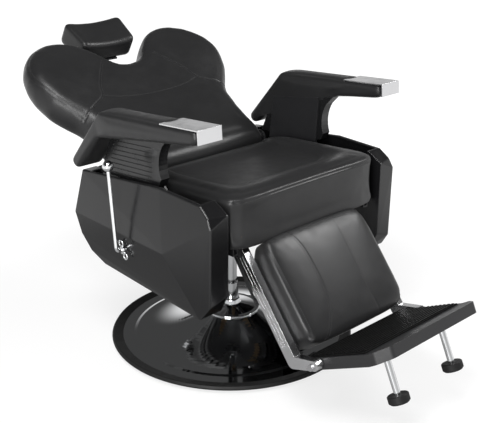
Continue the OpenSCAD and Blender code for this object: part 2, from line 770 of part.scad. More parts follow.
// Recess for the hinge plates in each side of the back
hinge_room = 1;
hinge_recess_r = 23;
hinge_recess_l = 122;
back_fill_shares = [0.72, 0.5, 0.28, 0.1];

function back_ring(inset, sgn) = [for (p = back_outline) let (q = toward_mid(p, inset), n = back_n(q))
    [q[0], q[1], sgn > 0 ? n + back_t/2*edge_share(inset) : max(n - back_t/2*edge_share(inset), back_flat)]];
function back_fill(share, sgn) = [for (p = back_outline) let (
    e = toward_mid(p, back_edge), q = back_mid + (e - back_mid)*share, n = back_n(q))
    [q[0], q[1], sgn > 0 ? n + back_t/2 : max(n - back_t/2, back_flat)]];

module back_cushion() {
    rings = concat(
        [for (f = [len(back_fill_shares) - 1:-1:0]) back_fill(back_fill_shares[f], -1)],
        [for (i = [len(back_insets) - 1:-1:0]) back_ring(back_insets[i], -1)],
        [for (i = [1:len(back_insets) - 1]) back_ring(back_insets[i], 1)],
        [for (f = back_fill_shares) back_fill(f, 1)]);
    color([0.15, 0.15, 0.16]) back_lay() difference() {
        loft(rings);
        for (side = [1, -1]) sided(side)
            translate([back_plate_x - pin_head - hinge_room, pin_s - hinge_recess_r, back_flat - cut])
            cube([wing_reach, hinge_recess_l, pin_n + hinge_recess_r - back_flat + cut]);
    }
}

board_half = 168;
board_low = 70;
board_high = 340;
back_board_t = 8;
board_round = 40;

module back_board() {
    color([0.1, 0.1, 0.1])
    back_lay() translate([0, 0, back_flat - back_board_t]) linear_extrude(back_board_t)
        polygon(rounded([[-board_half, board_low], [board_half, board_low],
            [board_half, board_high], [-board_half, board_high]], board_round, 8));
}

frame_bar_w = 30;
frame_bar_t = 6;
plate_boss_r = 20;
// From the hinge to the end of each side plate, and to the cross bar
side_plate_l = 95;
cross_bar_s = 65;
// The two uprights from the cross bar
upright_x = [-130, 100];
upright_l = 180;
crank_root = 14;
crank_tip = 9;
crank_boss_r = 10;

// Steel frame of the back: side plates from the pins, cross bars behind the board, crank for the lock
module back_frame() {
    low_n = back_flat - back_board_t - frame_bar_t;
    color([0.12, 0.12, 0.13]) back_lay() {
        for (side = [1, -1]) sided(side) difference() {
            translate([back_plate_x, 0, 0]) rotate([90, 0, 90]) linear_extrude(back_plate_t) union() {
                translate([pin_s, pin_n]) circle(r = plate_boss_r);
                polygon([[pin_s - plate_boss_r, pin_n], [pin_s + plate_boss_r, pin_n], [pin_s + side_plate_l, low_n],
                    [pin_s + side_plate_l, low_n - frame_bar_t], [pin_s + plate_boss_r, low_n - frame_bar_t]]);
                if (side > 0) polygon([[pin_s - crank_root, pin_n], [pin_s + crank_root, pin_n],
                    crank_at + [crank_tip, 0], crank_at + [-crank_tip, 0]]);
                if (side > 0) translate(crank_at) circle(r = crank_boss_r);
            }
            translate([0, pin_s, pin_n]) rotate([0, 90, 0]) cylinder(d = hinge_d + 2*gap, h = 2*tube_out, $fn = 48);
        }
        translate([-back_plate_x - back_plate_t, pin_s + cross_bar_s, low_n])
            cube([2*(back_plate_x + back_plate_t), frame_bar_w, frame_bar_t]);
        for (x = upright_x) translate([x, pin_s + cross_bar_s + frame_bar_w, low_n])
            cube([frame_bar_w, upright_l, frame_bar_t]);
        translate([lock_x - crank_tip, crank_at[0], crank_at[1]]) rotate([0, 90, 0])
            cylinder(d = crank_pin_d, h = back_plate_x + back_plate_t - lock_x + crank_tip, $fn = 48);
    }
}
// The crank pin in the back's own plane
crank_at = [pin_s, pin_n] + crank_r*[sin(crank_rest - back_angle), -cos(crank_rest - back_angle)];

// Headrest bar, its guide on the back board, and the headrest itself

bar_n = back_flat - back_board_t - 2*bar_t;
bar_high = 506;
guide_low = 262;
guide_high = 352;
bar_keep = 40;
bar_low = guide_high - bar_travel - bar_keep;
guide_wall = 5;

module bar_guide() {
    top = back_flat - back_board_t;
    low = bar_n - guide_wall;
    color([0.12, 0.12, 0.13]) back_lay()
    difference() {
        translate([-bar_w/2 - 2*guide_wall, guide_low, low])
            cube([bar_w + 4*guide_wall, guide_high - guide_low, top - low]);
        translate([-bar_w/2 - gap, guide_low - cut, bar_n - gap])
            cube([bar_w + 2*gap, guide_high - guide_low + 2*cut, bar_t + 2*gap]);
        translate([0, (guide_low + guide_high)/2, low - cut])
            cylinder(d = knob_screw_d, h = guide_wall + cut, $fn = 32);
    }
}

knob_screw_d = 8;
module headrest_knob() {
    head = 16;
    head_d = 38;
    neck = 4;
    neck_d = 14;
    flute_at = 21;
    flute_d = 9;
    over = 1;
    low = bar_n - guide_wall;
    color([0.05, 0.05, 0.05]) back_lay() translate([0, (guide_low + guide_high)/2, 0]) {
        translate([0, 0, low]) cylinder(d = knob_screw_d - 2*gap, h = guide_wall - gap, $fn = 32);
        translate([0, 0, low - neck]) cylinder(d = neck_d, h = neck, $fn = 32);
        difference() {
            translate([0, 0, low - neck - head]) cylinder(d = head_d, h = head);
            for (a = [0:60:300]) rotate([0, 0, a]) translate([flute_at, 0, low - neck - over - head])
                cylinder(d = flute_d, h = head + 2*over, $fn = 24);
        }
    }
}

tilt_s = 500;
tilt_n = -92;
tilt_d = 10;
lug_w = 30;
lug_t = 8;

module headrest_bar() {
    color([0.85, 0.86, 0.88]) back_lay()
    difference() {
        union() {
            translate([-bar_w/2, bar_low, bar_n]) cube([bar_w, bar_high - bar_low, bar_t]);
            translate([-lug_w/2, tilt_s - 14, bar_n + bar_t]) cube([lug_w, 20, tilt_n - bar_n - bar_t]);
            translate([-lug_w/2, tilt_s, tilt_n]) rotate([0, 90, 0]) cylinder(d = 20, h = lug_w);
        }
        translate([-lug_w, tilt_s, tilt_n]) rotate([0, 90, 0]) cylinder(d = tilt_d + 2*gap, h = 2*lug_w, $fn = 48);
    }
}

head_low_s = 479;
head_face_n = -8;
head_back_n = -74;

// Two lugs on a plate at the back of the headrest, either side of the bar's lug
module headrest_bracket() {
    color([0.12, 0.12, 0.13]) back_lay()
    difference() {
        union() {
            translate([-40, tilt_s - 24, head_back_n - lug_t/2]) cube([80, 60, lug_t/2]);
            for (s = [-1, 1]) translate([s*(lug_w/2 + gap + lug_t/2) - lug_t/2, 0, 0]) {
                translate([0, tilt_s - 11, tilt_n]) cube([lug_t, 22, head_back_n - tilt_n - lug_t/2]);
                translate([0, tilt_s, tilt_n]) rotate([0, 90, 0]) cylinder(d = 22, h = lug_t);
            }
        }
        translate([-lug_w, tilt_s, tilt_n]) rotate([0, 90, 0]) cylinder(d = tilt_d, h = 2*lug_w, $fn = 48);
    }
}

module headrest_pin() {
    reach = lug_w/2 + gap + lug_t;
    color([0.7, 0.7, 0.72]) back_lay()
    translate([-reach, tilt_s, tilt_n]) rotate([0, 90, 0]) cylinder(d = tilt_d, h = 2*reach, $fn = 48);
}

head_high_s = head_low_s + head_l;
head_hollow_n = -18;
// Rings of the headrest from its back to its face: [n, lower s, upper s, half width below, half width above]
head_rings = [[head_back_n, head_low_s - 17, head_high_s - 14, 34, head_w/4],
    [head_back_n + 4, head_low_s - 25, head_high_s - 6, 42, head_w/3.3],
    [head_back_n + 14, head_low_s - 33, head_high_s + 4, 45, head_w/2.8],
    [head_back_n + 28, head_low_s - 36, head_high_s + 10, 48, head_w/2.5],
    [head_back_n + 44, head_low_s - 19, head_high_s + 11, 66, head_w/2.2],
    [head_hollow_n, head_low_s - 6, head_high_s + 6, 81, head_w/2 - 2],
    [head_face_n, head_low_s, head_high_s, 84, head_w/2],
    [head_face_n + 5, head_low_s + 6, head_high_s - 6, 78, head_w/2 - 6],
    [head_face_n + 8, head_low_s + 16, head_high_s - 16, 64, head_w/2 - 20],
    [head_face_n + 9, head_low_s + 28, head_high_s - 28, 36, head_w/2 - 52]];
head_n = 48;
head_hollow = 13;

module headrest_cushion() {
    function head_ring(r) = [for (i = [0:head_n - 1]) let (q = squircle(360*i/head_n, 7),
        s = (r[1] + r[2])/2 + q[1]*(r[2] - r[1])/2,
        x = q[0]*(r[3] + (r[4] - r[3])*(q[1] + 1)/2),
        sink = r[0] < head_hollow_n ? 0 : head_hollow*(1 - pow(2*x/head_w, 2)))
        [x, s, r[0] - sink]];
    color([0.15, 0.15, 0.16]) back_lay()
        loft([for (r = head_rings) head_ring(r)]);
}

// Legrest, drawn flat with a down the rails and b off their face, then hung at its angle from its pin

leg_pin = [-224, 391];
leg_pin_d = 12;
// Frame of the legrest: local y runs down the rails and local z points off the cushion's face
module leg_hang() {
    translate([0, leg_pin[0], leg_pin[1]]) rotate([180 + leg_angle, 0, 0]) mirror([0, 0, 1]) children();
}

rail_out = tube_in - rail_room;
rail_in = rail_out - rail_w;
rib_count = 2;
// The bracket at the foot of each rail in the (y, z) plane
rail_down = [-cos(leg_angle), -sin(leg_angle)];
rail_up = [-sin(leg_angle), cos(leg_angle)];
heel = leg_pin + rail_l*rail_down;
toe_angle = 15;
toe_l = 68;
toe = heel + toe_l*[-cos(toe_angle), sin(toe_angle)];
toe_up = [sin(toe_angle), cos(toe_angle)];
toe_half = 12;
// inner corner, where the front of the rail meets the top of its toe
rail_corner = meet(leg_pin + rail_d/2*rail_up, rail_down,
    toe + toe_half*toe_up, heel - toe + (rail_d/2 - toe_half)*toe_up);
rail_outline = concat(arc_pts(leg_pin, rail_d/2, leg_angle - 90, leg_angle + 90, 16), [rail_corner],
    arc_pts(toe, toe_half, 90 - toe_angle, 270 - toe_angle, 14), arc_pts(heel, rail_d/2, 270 - toe_angle, 270 + leg_angle, 8));

// Grooved rail with the bracket that carries the footrest
module legrest_rail() {
    color([0.82, 0.83, 0.85])
    sided(1) difference() {
        plate_x(rail_in, rail_w) polygon(rail_outline);
        for (i = [1:rib_count])
            leg_hang() translate([rail_out - fine, 40, -rail_d/2 + rail_d*i/(rib_count + 1) - 1]) cube([fine + cut, rail_l - 80, 2]);
        translate([rail_in - cut, leg_pin[0], leg_pin[1]]) rotate([0, 90, 0])
            cylinder(d = leg_pin_d + 2*gap, h = rail_w + 2*cut, $fn = 48);
        translate([rail_in - cut, foot_pin[0], foot_pin[1]]) rotate([0, 90, 0])
            cylinder(d = foot_pin_d, h = rail_w + 2*cut, $fn = 48);
    }
}
module legrest_rail_left() { sided(1) legrest_rail(); }
module legrest_rail_right() { sided(-1) legrest_rail(); }

module legrest_pins() {
    color([0.7, 0.7, 0.72])
    for (side = [1, -1]) sided(side) {
        translate([rail_in, leg_pin[0], leg_pin[1]]) rotate([0, 90, 0])
            cylinder(d = leg_pin_d, h = tube_out - rail_in, $fn = 48);
        translate([rail_in - 4, leg_pin[0], leg_pin[1]]) rotate([0, 90, 0])
            cylinder(d = leg_pin_d + 6, h = 4 - gap, $fn = 48);
        translate([rail_out + gap, leg_pin[0], leg_pin[1]]) rotate([0, 90, 0])
            cylinder(d = leg_pin_d + 6, h = tube_in - rail_out - gap, $fn = 48);
    }
}

pan_t = 6;
pan_b = -20;
pan_start = 55;
pan_l = leg_cushion_l - 10;

// Steel pan behind the cushion, with flanges bolted to the rails
module legrest_pan() {
    side_t = 5;
    color([0.1, 0.1, 0.11]) leg_hang() {
        translate([-rail_in, pan_start, pan_b - pan_t]) cube([2*rail_in, pan_l, pan_t]);
        for (s = [0, 1]) mirror([s, 0, 0]) {
            translate([rail_in - side_t, pan_start, pan_b]) cube([side_t, pan_l, rail_d/2 - pan_b]);
            // lug and pin that slide in the slot of each stay
            translate([stay_x - stay_gap - stay_lug_t, stay_pin_a - stay_w/2, stay_pin_b - stay_w/2])
                cube([stay_lug_t, stay_w, pan_b - pan_t + stay_w/2 - stay_pin_b]);
            translate([stay_x - stay_gap - stay_lug_t, stay_pin_a, stay_pin_b]) rotate([0, 90, 0])
                cylinder(d = stay_pin_d, h = stay_lug_t + 2*stay_gap + stay_t, $fn = 48);
        }
    }
}

leg_start = 50;
leg_n = 48;
leg_rings = [[6, pan_b], [1.5, pan_b + 3], [0, pan_b + 8], [0, 20], [0, 46], [2, 54], [6, 60], [14, 64], [30, 67], [58, 69],
    [100, 70]];

module legrest_cushion() {
    half = [rail_in - 5 - gap, leg_cushion_l/2];
    mid = [0, leg_start + leg_cushion_l/2];
    function leg_ring(inset, b) = [for (p = box_ring(mid, half - [inset, inset], 8, leg_n)) [p[0], p[1], b]];
    color([0.16, 0.16, 0.17]) leg_hang() loft([for (r = leg_rings) leg_ring(r[0], r[1])]);
}

// Slotted stays between the seat frame and the legrest pan: the pan's pin slides in the slot
stay_pivot = [-190, 354];
stay_t = 5;
stay_w = 20;
stay_lug_t = 5;
stay_gap = 1;
stay_x = rail_in - 3*stay_t;
stay_pin_d = 8;
stay_pin_a = 143;
stay_pin_b = -56;
// Where the pan's pin lies at rest in the (y, z) plane, and how far it is from the stay's pivot
stay_pin = leg_pin + stay_pin_a*rail_down + stay_pin_b*rail_up;
stay_reach = norm(stay_pin - stay_pivot);
stay_turn = atan2(stay_pin[1] - stay_pivot[1], stay_pin[0] - stay_pivot[0]);
stay_play = 1.5;
stay_slide = 24;

module stay_bars() {
    color([0.08, 0.08, 0.09])
    for (side = [1, -1]) sided(side)
        plate_x(stay_x, stay_t) translate(stay_pivot) rotate(stay_turn) difference() {
            union() {
                circle(r = stay_w/2);
                translate([0, -stay_w/2]) square([stay_reach + stay_w/2, stay_w]);
            }
            circle(d = stay_pin_d + 2*gap);
            translate([stay_reach - stay_slide, -stay_pin_d/2 - stay_play])
                square([stay_slide + stay_pin_d/2 + fine, stay_pin_d + 2*stay_play]);
        }
}

module stay_pins() {
    color([0.6, 0.6, 0.62])
    for (side = [1, -1]) sided(side) translate([stay_x - fine, stay_pivot[0], stay_pivot[1]]) rotate([0, 90, 0])
        cylinder(d = stay_pin_d, h = stay_t + stay_gap + stay_lug_t + 2*fine, $fn = 48);
}

// Footrest: a cast plate with a ribbed mat, hinged between the toes of the rails

foot_pin = heel + (toe_l - 10)*[-cos(toe_angle), sin(toe_angle)] - 4*toe_up;
foot_pin_d = 10;
foot_angle = 25;
foot_half = rail_in - foot_room;
foot_w = 2*foot_half;
// Frame of the footrest: local y runs forward and up the plate, local z off its top
module foot_lay() {
    translate([0, foot_pin[0], foot_pin[1]]) rotate([180 - foot_angle, 0, 0]) mirror([0, 0, 1]) children();
}
foot_t = 8;
foot_start = -36;
foot_top = 13.4;
lip_l = 54;
lip_angle = 8;

module footrest_plate() {
    corner = 26;
    rim_outline = rounded([[-foot_half, foot_start], [foot_half, foot_start],
        [foot_half, foot_start + foot_l + lip_l*0.4],
        [foot_half - corner, foot_start + foot_l + lip_l], [-foot_half + corner, foot_start + foot_l + lip_l],
        [-foot_half, foot_start + foot_l + lip_l*0.4]], 12, 4);
    color([0.09, 0.09, 0.1])
    foot_lay() difference() {
        union() {
            intersection() {
                translate([0, 0, foot_top - foot_rim]) linear_extrude(foot_rim + lip_l) polygon(rim_outline);
                translate([-foot_half, 0, 0]) rotate([90, 0, 90]) linear_extrude(2*foot_half) polygon([
                    [foot_start, foot_top - foot_rim], [foot_start + foot_l, foot_top - foot_rim],
                    [foot_start + foot_l + lip_l, foot_top - foot_rim + lip_l*tan(lip_angle)],
                    [foot_start + foot_l + lip_l, foot_top + lip_l*tan(lip_angle)],
                    [foot_start + foot_l, foot_top], [foot_start, foot_top]]);
            }
            for (s = [0, 1]) mirror([s, 0, 0]) translate([foot_half - 2*fine, 0, 0]) rotate([0, 90, 0])
                cylinder(r = foot_top, h = rail_in - foot_half + 2*fine - gap);
        }
        // hollow underside between the rim walls
        translate([-foot_half + foot_t, foot_start + foot_t, foot_top - foot_rim - cut])
            cube([foot_w - 2*foot_t, foot_l - 2*foot_t, foot_rim - foot_t + cut]);
        rotate([0, 90, 0]) cylinder(d = foot_pin_d + 2*gap, h = 2*foot_w, center = true, $fn = 48);
    }
}

rib_w = 6;
rib_h = 3;
mat_t = 3;
module footrest_mat() {
    inset = 8;
    run = foot_l - 2*inset;
    color([0.04, 0.04, 0.04]) foot_lay() {
        translate([-foot_half + inset, foot_start + inset, foot_top]) cube([foot_w - 2*inset, run, mat_t]);
        for (i = [0:foot_ribs - 1])
            translate([-foot_half + 2*inset,
                foot_start + inset + rib_w/2 + (run - 2*rib_w)*i/(foot_ribs - 1), foot_top + mat_t])
                cube([foot_w - 4*inset, rib_w, rib_h]);
    }
}

foot_pin_in = 20;
foot_pin_head = 4;
foot_pin_lip = 3;

module footrest_pins() {
    color([0.75, 0.75, 0.77])
    for (side = [1, -1]) sided(side) {
        translate([foot_half - foot_pin_in, foot_pin[0], foot_pin[1]]) rotate([0, 90, 0])
            cylinder(d = foot_pin_d, h = rail_out - foot_half + foot_pin_in, $fn = 48);
        translate([rail_out, foot_pin[0], foot_pin[1]]) rotate([0, 90, 0])
            cylinder(d = foot_pin_d + 2*foot_pin_lip, h = foot_pin_head, $fn = 48);
    }
}

leg_tube_d = 16;
leg_foot_d = 50;
leg_foot_h = 20;
leg_tube_l = 118;
// The legs stand square to the plate, this far in from the end of its flat and this far up through it
leg_inset = 18.4719;
leg_rise = 1.383;
leg_top = foot_pin + (foot_start + foot_l - leg_inset)*[-cos(foot_angle), sin(foot_angle)]
    + (foot_top + leg_rise)*[sin(foot_angle), cos(foot_angle)];

module leg_at() {
    for (s = [-1, 1]) translate([s*foot_leg_gap/2, leg_top[0], leg_top[1]])
        rotate([-foot_angle, 0, 0]) mirror([0, 0, 1]) children();
}

module footrest_legs() {
    color([0.86, 0.87, 0.89])
    difference() {
        leg_at() cylinder(d = leg_tube_d, h = leg_tube_l, $fn = 48);
        foot_lay() translate([-foot_half, foot_start, foot_top - foot_t]) cube([foot_w, foot_l, foot_rim + leg_tube_d]);
    }
}

module leg_feet() {
    color([0.07, 0.07, 0.07])
    leg_at() translate([0, 0, leg_tube_l]) rotate_extrude()
        polygon([[0, 0], [leg_foot_d/2 - fine, 0], [leg_foot_d/2, fine], [leg_foot_d/2, leg_foot_h - 2*fine],
            [leg_foot_d/2 - 2*fine, leg_foot_h], [0, leg_foot_h]]);
}

// Recline lever on its shaft at the right-hand side

lever_room = 15;
lever_x = shroud_out + lever_room;
lever_lean = 4.4;
bend_r = 12;
shaft_in = 8;
knob_seat = 3;
// The lever's own frame: x outwards along its shaft, z up the leaning rod
module lever_at() { sided(-1) translate([0, lever_y, lever_z]) rotate([-lever_lean, 0, 0]) children(); }

module lever_arm() {
    color([0.86, 0.87, 0.89]) lever_at() {
        translate([arm_plate_x - shaft_in, 0, 0]) rotate([0, 90, 0])
            cylinder(d = shaft_d, h = lever_x - bend_r - arm_plate_x + shaft_in, $fn = 48);
        translate([lever_x - bend_r, 0, bend_r]) rotate([90, 0, 0]) rotate([0, 0, -90])
            rotate_extrude(angle = 90, $fn = 48) translate([bend_r, 0]) circle(d = lever_d, $fn = 32);
        translate([lever_x, 0, bend_r]) cylinder(d = lever_d, h = lever_l - bend_r - knob_seat, $fn = 48);
    }
}

module lever_knob() {
    color([0.9, 0.9, 0.92]) lever_at()
    difference() {
        translate([lever_x, 0, lever_l]) sphere(d = knob_d);
        translate([lever_x, 0, lever_l - knob_d]) cylinder(d = lever_d, h = knob_d - knob_seat, $fn = 48);
    }
}

nut_x = lever_x - 20;
nut_t = 10;
nut_turn = -28;
module wing_nut() {
    loop_r = 9;
    wire_r = 2;
    color([0.85, 0.86, 0.88]) sided(-1)
    translate([nut_x - nut_t/2, lever_y, lever_z]) rotate([0, 90, 0])
        difference() {
            union() {
                cylinder(d = shaft_d + 8, h = nut_t, $fn = 48);
                for (s = [-1, 1]) rotate([0, 0, nut_turn]) translate([s*(shaft_d/2 + 3 + loop_r), 0, nut_t/2])
                    rotate_extrude($fn = 32) translate([loop_r - wire_r, 0]) circle(r = wire_r, $fn = 16);
            }
            translate([0, 0, -cut]) cylinder(d = shaft_d + 2*gap, h = nut_t + 2*cut, $fn = 48);
        }
}

module lever_bush() {
    color([0.7, 0.6, 0.35]) sided(-1)
    translate([arm_plate_x, lever_y, lever_z]) rotate([0, 90, 0]) difference() {
        cylinder(d = shaft_d + 2*bush_wall + 2*gap, h = arm_plate_t, $fn = 48);
        translate([0, 0, -cut]) cylinder(d = shaft_d + 2*gap, h = arm_plate_t + 2*cut, $fn = 48);
    }
}

ground_plate();
base_rim();
base_dish();
base_collar();
pump_body();
pump_bolts();
pump_barrel();
pedal_arm();
pedal_pad();
pedal_pin();
lift_ram();
swivel_hub();
seat_frame();
seat_board();
seat_cushion();
arm_bracket_left();
arm_bracket_right();
side_shroud_left();
side_shroud_right();
arm_panel_left();
arm_panel_right();
arm_pad_left();
arm_pad_right();
arm_cap_left();
arm_cap_right();
lock_cylinder();
lock_rod();
recline_pins();
back_frame();
back_cushion();
back_board();
bar_guide();
headrest_bar();
headrest_bracket();
headrest_cushion();
headrest_pin();
headrest_knob();
legrest_rail_left();
legrest_rail_right();
legrest_pins();
legrest_pan();
legrest_cushion();
stay_bars();
stay_pins();
footrest_plate();
footrest_mat();
footrest_pins();
footrest_legs();
leg_feet();
lever_arm();
lever_knob();
wing_nut();
lever_bush();
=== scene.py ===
import bpy
import bmesh
import json
import math
import numpy as np
from mathutils import Matrix, Vector
from mathutils.bvhtree import BVHTree


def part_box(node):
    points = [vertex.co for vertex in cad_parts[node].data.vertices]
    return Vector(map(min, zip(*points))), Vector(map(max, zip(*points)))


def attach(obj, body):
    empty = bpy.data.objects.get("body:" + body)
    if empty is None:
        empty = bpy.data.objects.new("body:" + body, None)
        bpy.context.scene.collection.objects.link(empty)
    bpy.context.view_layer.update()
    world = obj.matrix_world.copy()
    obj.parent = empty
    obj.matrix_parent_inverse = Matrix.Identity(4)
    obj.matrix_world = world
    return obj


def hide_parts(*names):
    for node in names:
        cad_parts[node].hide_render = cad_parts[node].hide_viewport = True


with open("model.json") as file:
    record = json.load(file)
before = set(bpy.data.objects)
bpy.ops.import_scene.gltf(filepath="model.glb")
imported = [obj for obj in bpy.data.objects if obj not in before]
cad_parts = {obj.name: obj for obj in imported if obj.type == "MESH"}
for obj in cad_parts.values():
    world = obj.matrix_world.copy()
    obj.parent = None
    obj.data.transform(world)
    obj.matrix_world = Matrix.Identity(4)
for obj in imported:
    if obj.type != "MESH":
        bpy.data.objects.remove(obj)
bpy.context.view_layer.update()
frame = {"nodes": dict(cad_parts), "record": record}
cadNodes = frame["nodes"]
scene = bpy.context.scene
print("frame loaded:", len(cadNodes), "nodes")

# Planes that the upholstery is drawn in, in metres: where each starts, its directions, and which side is out
layOf = {
    "seatTop": dict(start=(0, 0, 0), across=(1, 0, 0), along=(0, 1, 0)),
    "seatFace": dict(start=(0, 0, 0), across=(1, 0, 0), along=(0, 0, 1)),
    "back": dict(start=(0, 0.072, 0.503), across=(1, 0, 0), tilt=30),
    "legrest": dict(start=(0, -0.224, 0.391), across=(1, 0, 0), tilt=231.5, facing=-1),
}


def layAxes(name):
    lay = layOf[name]
    across = Vector(lay["across"])
    if "tilt" in lay:  # the second direction leans by this angle in the side view
        lean = math.radians(lay["tilt"])
        along = Vector((0, math.cos(lean), math.sin(lean)))
    else:
        along = Vector(lay["along"])
    out = across.cross(along) * lay.get("facing", 1)
    return Vector(lay["start"]), across, along, out


# Camera

camera = dict(place=(-1.580, -1.702, 1.229), turn=-44.1, down=20.68, focalPixels=947.9, framePixels=500,
              sensor=36, farthest=60)


def placeCamera():
    view = bpy.data.cameras.new("camera")
    view.sensor_width = camera["sensor"]
    view.lens = camera["focalPixels"] / camera["framePixels"] * camera["sensor"]
    view.clip_end = camera["farthest"]
    holder = bpy.data.objects.new("camera", view)
    holder.location = camera["place"]
    holder.rotation_euler = (math.radians(90 - camera["down"]), 0, math.radians(camera["turn"]))
    scene.collection.objects.link(holder)
    scene.camera = holder


placeCamera()
print("camera placed")

# Shader groups that several finishes share


def newGroup(name, inputs, outputs):
    group = bpy.data.node_groups.new(name, "ShaderNodeTree")
    for label, kind, value in inputs:
        socket = group.interface.new_socket(label, in_out="INPUT", socket_type=kind)
        if value is not None:
            socket.default_value = value
    for label, kind in outputs:
        group.interface.new_socket(label, in_out="OUTPUT", socket_type=kind)
    return group, group.nodes.new("NodeGroupInput"), group.nodes.new("NodeGroupOutput")


def setSockets(node, sockets):
    for label, value in sockets.items():
        node.inputs[label].default_value = value


def addNode(tree, kind, sockets=None, **values):
    node = tree.nodes.new(kind)
    for key, value in values.items():
        setattr(node, key, value)
    setSockets(node, sockets or {})
    return node


def addMath(tree, what, first, second):
    node = addNode(tree, "ShaderNodeMath", operation=what)
    for slot, value in enumerate((first, second)):
        if isinstance(value, (int, float)):
            node.inputs[slot].default_value = value
        else:
            tree.links.new(value, node.inputs[slot])
    return node.outputs[0]


# The leather's pebbles and creases, and the patches where it is worn
hide = dict(pebbles=620.0, creases=34.0, pebble={"Smoothness": 0.35}, crease={"Detail": 6, "Distortion": 0.6},
            patch={"Scale": 7, "Detail": 3}, pebbleHeight=0.55, creaseHeight=0.9)


def makeGrainGroup():
    inputs = [("Place", "NodeSocketVector", None), ("Pebbles", "NodeSocketFloat", hide["pebbles"]),
              ("Creases", "NodeSocketFloat", hide["creases"])]
    outputs = [("Height", "NodeSocketFloat"), ("Worn", "NodeSocketFloat")]
    group, start, end = newGroup("hideGrain", inputs, outputs)
    pebble = addNode(group, "ShaderNodeTexVoronoi", hide["pebble"], feature="SMOOTH_F1")
    crease = addNode(group, "ShaderNodeTexNoise", hide["crease"])
    patch = addNode(group, "ShaderNodeTexNoise", hide["patch"])
    for texture in (pebble, crease, patch):
        group.links.new(start.outputs["Place"], texture.inputs["Vector"])
    group.links.new(start.outputs["Pebbles"], pebble.inputs["Scale"])
    group.links.new(start.outputs["Creases"], crease.inputs["Scale"])
    pebbleHeight = addMath(group, "MULTIPLY", pebble.outputs["Distance"], hide["pebbleHeight"])
    creaseHeight = addMath(group, "MULTIPLY", crease.outputs["Fac"], hide["creaseHeight"])
    group.links.new(addMath(group, "ADD", pebbleHeight, creaseHeight), end.inputs["Height"])
    group.links.new(patch.outputs["Fac"], end.inputs["Worn"])
    return group


# Smears and fine marks that vary how rough a finish is
handling = dict(least=0.1, most=0.2, smear={"Scale": 9, "Detail": 5}, fine={"Scale": 40, "Detail": 2},
                spread={"From Min": 0.38, "From Max": 0.62})


def makeHandlingGroup():
    inputs = [("Place", "NodeSocketVector", None), ("Least", "NodeSocketFloat", handling["least"]),
              ("Most", "NodeSocketFloat", handling["most"])]
    outputs = [("Roughness", "NodeSocketFloat"), ("Marks", "NodeSocketFloat")]
    group, start, end = newGroup("handling", inputs, outputs)
    smear = addNode(group, "ShaderNodeTexNoise", handling["smear"])
    fine = addNode(group, "ShaderNodeTexNoise", handling["fine"])
    for texture in (smear, fine):
        group.links.new(start.outputs["Place"], texture.inputs["Vector"])
    both = addMath(group, "ADD", smear.outputs["Fac"], fine.outputs["Fac"])
    mean = addMath(group, "MULTIPLY", both, 0.5)
    spread = addNode(group, "ShaderNodeMapRange", handling["spread"])
    group.links.new(mean, spread.inputs["Value"])
    group.links.new(start.outputs["Least"], spread.inputs["To Min"])
    group.links.new(start.outputs["Most"], spread.inputs["To Max"])
    group.links.new(spread.outputs["Result"], end.inputs["Roughness"])
    group.links.new(mean, end.inputs["Marks"])
    return group


# Edges shaded as if eased by a radius, with a mask that shows where; finishes lighten their base colour by
# this mask, a painted highlight along the edges
easedEdge = dict(radius=0.0008, samples=4, gain=6.0)


def makeEdgeGroup():
    inputs = [("Radius", "NodeSocketFloat", easedEdge["radius"])]
    outputs = [("Normal", "NodeSocketVector"), ("HighlightRim", "NodeSocketFloat")]
    group, start, end = newGroup("easedEdge", inputs, outputs)
    ease = addNode(group, "ShaderNodeBevel", samples=easedEdge["samples"])
    group.links.new(start.outputs["Radius"], ease.inputs["Radius"])
    group.links.new(ease.outputs["Normal"], end.inputs["Normal"])
    flat = addNode(group, "ShaderNodeNewGeometry")
    same = addNode(group, "ShaderNodeVectorMath", operation="DOT_PRODUCT")
    group.links.new(ease.outputs["Normal"], same.inputs[0])
    group.links.new(flat.outputs["Normal"], same.inputs[1])
    off = addMath(group, "SUBTRACT", 1.0, same.outputs["Value"])
    highlightRim = addMath(group, "MINIMUM", addMath(group, "MULTIPLY", off, easedEdge["gain"]), 1.0)
    group.links.new(highlightRim, end.inputs["HighlightRim"])
    return group


# Fine lines that brushing leaves in metal, and the grain of wood
brush = dict(lines={"Scale": 600, "Detail": 3}, depth=0.1, distance=0.0002)


def makeBrushGroup():
    inputs = [("Place", "NodeSocketVector", None), ("Stretch", "NodeSocketVector", (1.0, 1.0, 1.0))]
    group, start, end = newGroup("brushLines", inputs, [("Height", "NodeSocketFloat")])
    along = addNode(group, "ShaderNodeVectorMath", operation="MULTIPLY")
    lines = addNode(group, "ShaderNodeTexNoise", brush["lines"])
    group.links.new(start.outputs["Place"], along.inputs[0])
    group.links.new(start.outputs["Stretch"], along.inputs[1])
    group.links.new(along.outputs["Vector"], lines.inputs["Vector"])
    group.links.new(lines.outputs["Fac"], end.inputs["Height"])
    return group


grainGroup = makeGrainGroup()
handlingGroup = makeHandlingGroup()
edgeGroup = makeEdgeGroup()
brushGroup = makeBrushGroup()
print("shader groups made")

# Finishes


def placeGroup(material, group, **values):
    tree = material.node_tree
    node = addNode(tree, "ShaderNodeGroup", node_tree=group)
    if "Place" in node.inputs:
        where = tree.nodes.get("where") or addNode(tree, "ShaderNodeTexCoord", name="where")
        tree.links.new(where.outputs["Object"], node.inputs["Place"])
    setSockets(node, values)
    return node


def blankMaterial(name, colour, roughness, metallic=0.0, specular=0.5):
    material = bpy.data.materials.new(name)
    material.use_nodes = True
    shader = material.node_tree.nodes["Principled BSDF"]
    setSockets(shader, {"Base Color": (*colour, 1), "Roughness": roughness, "Metallic": metallic,
                        "Specular IOR Level": specular})
    return material, material.node_tree, shader


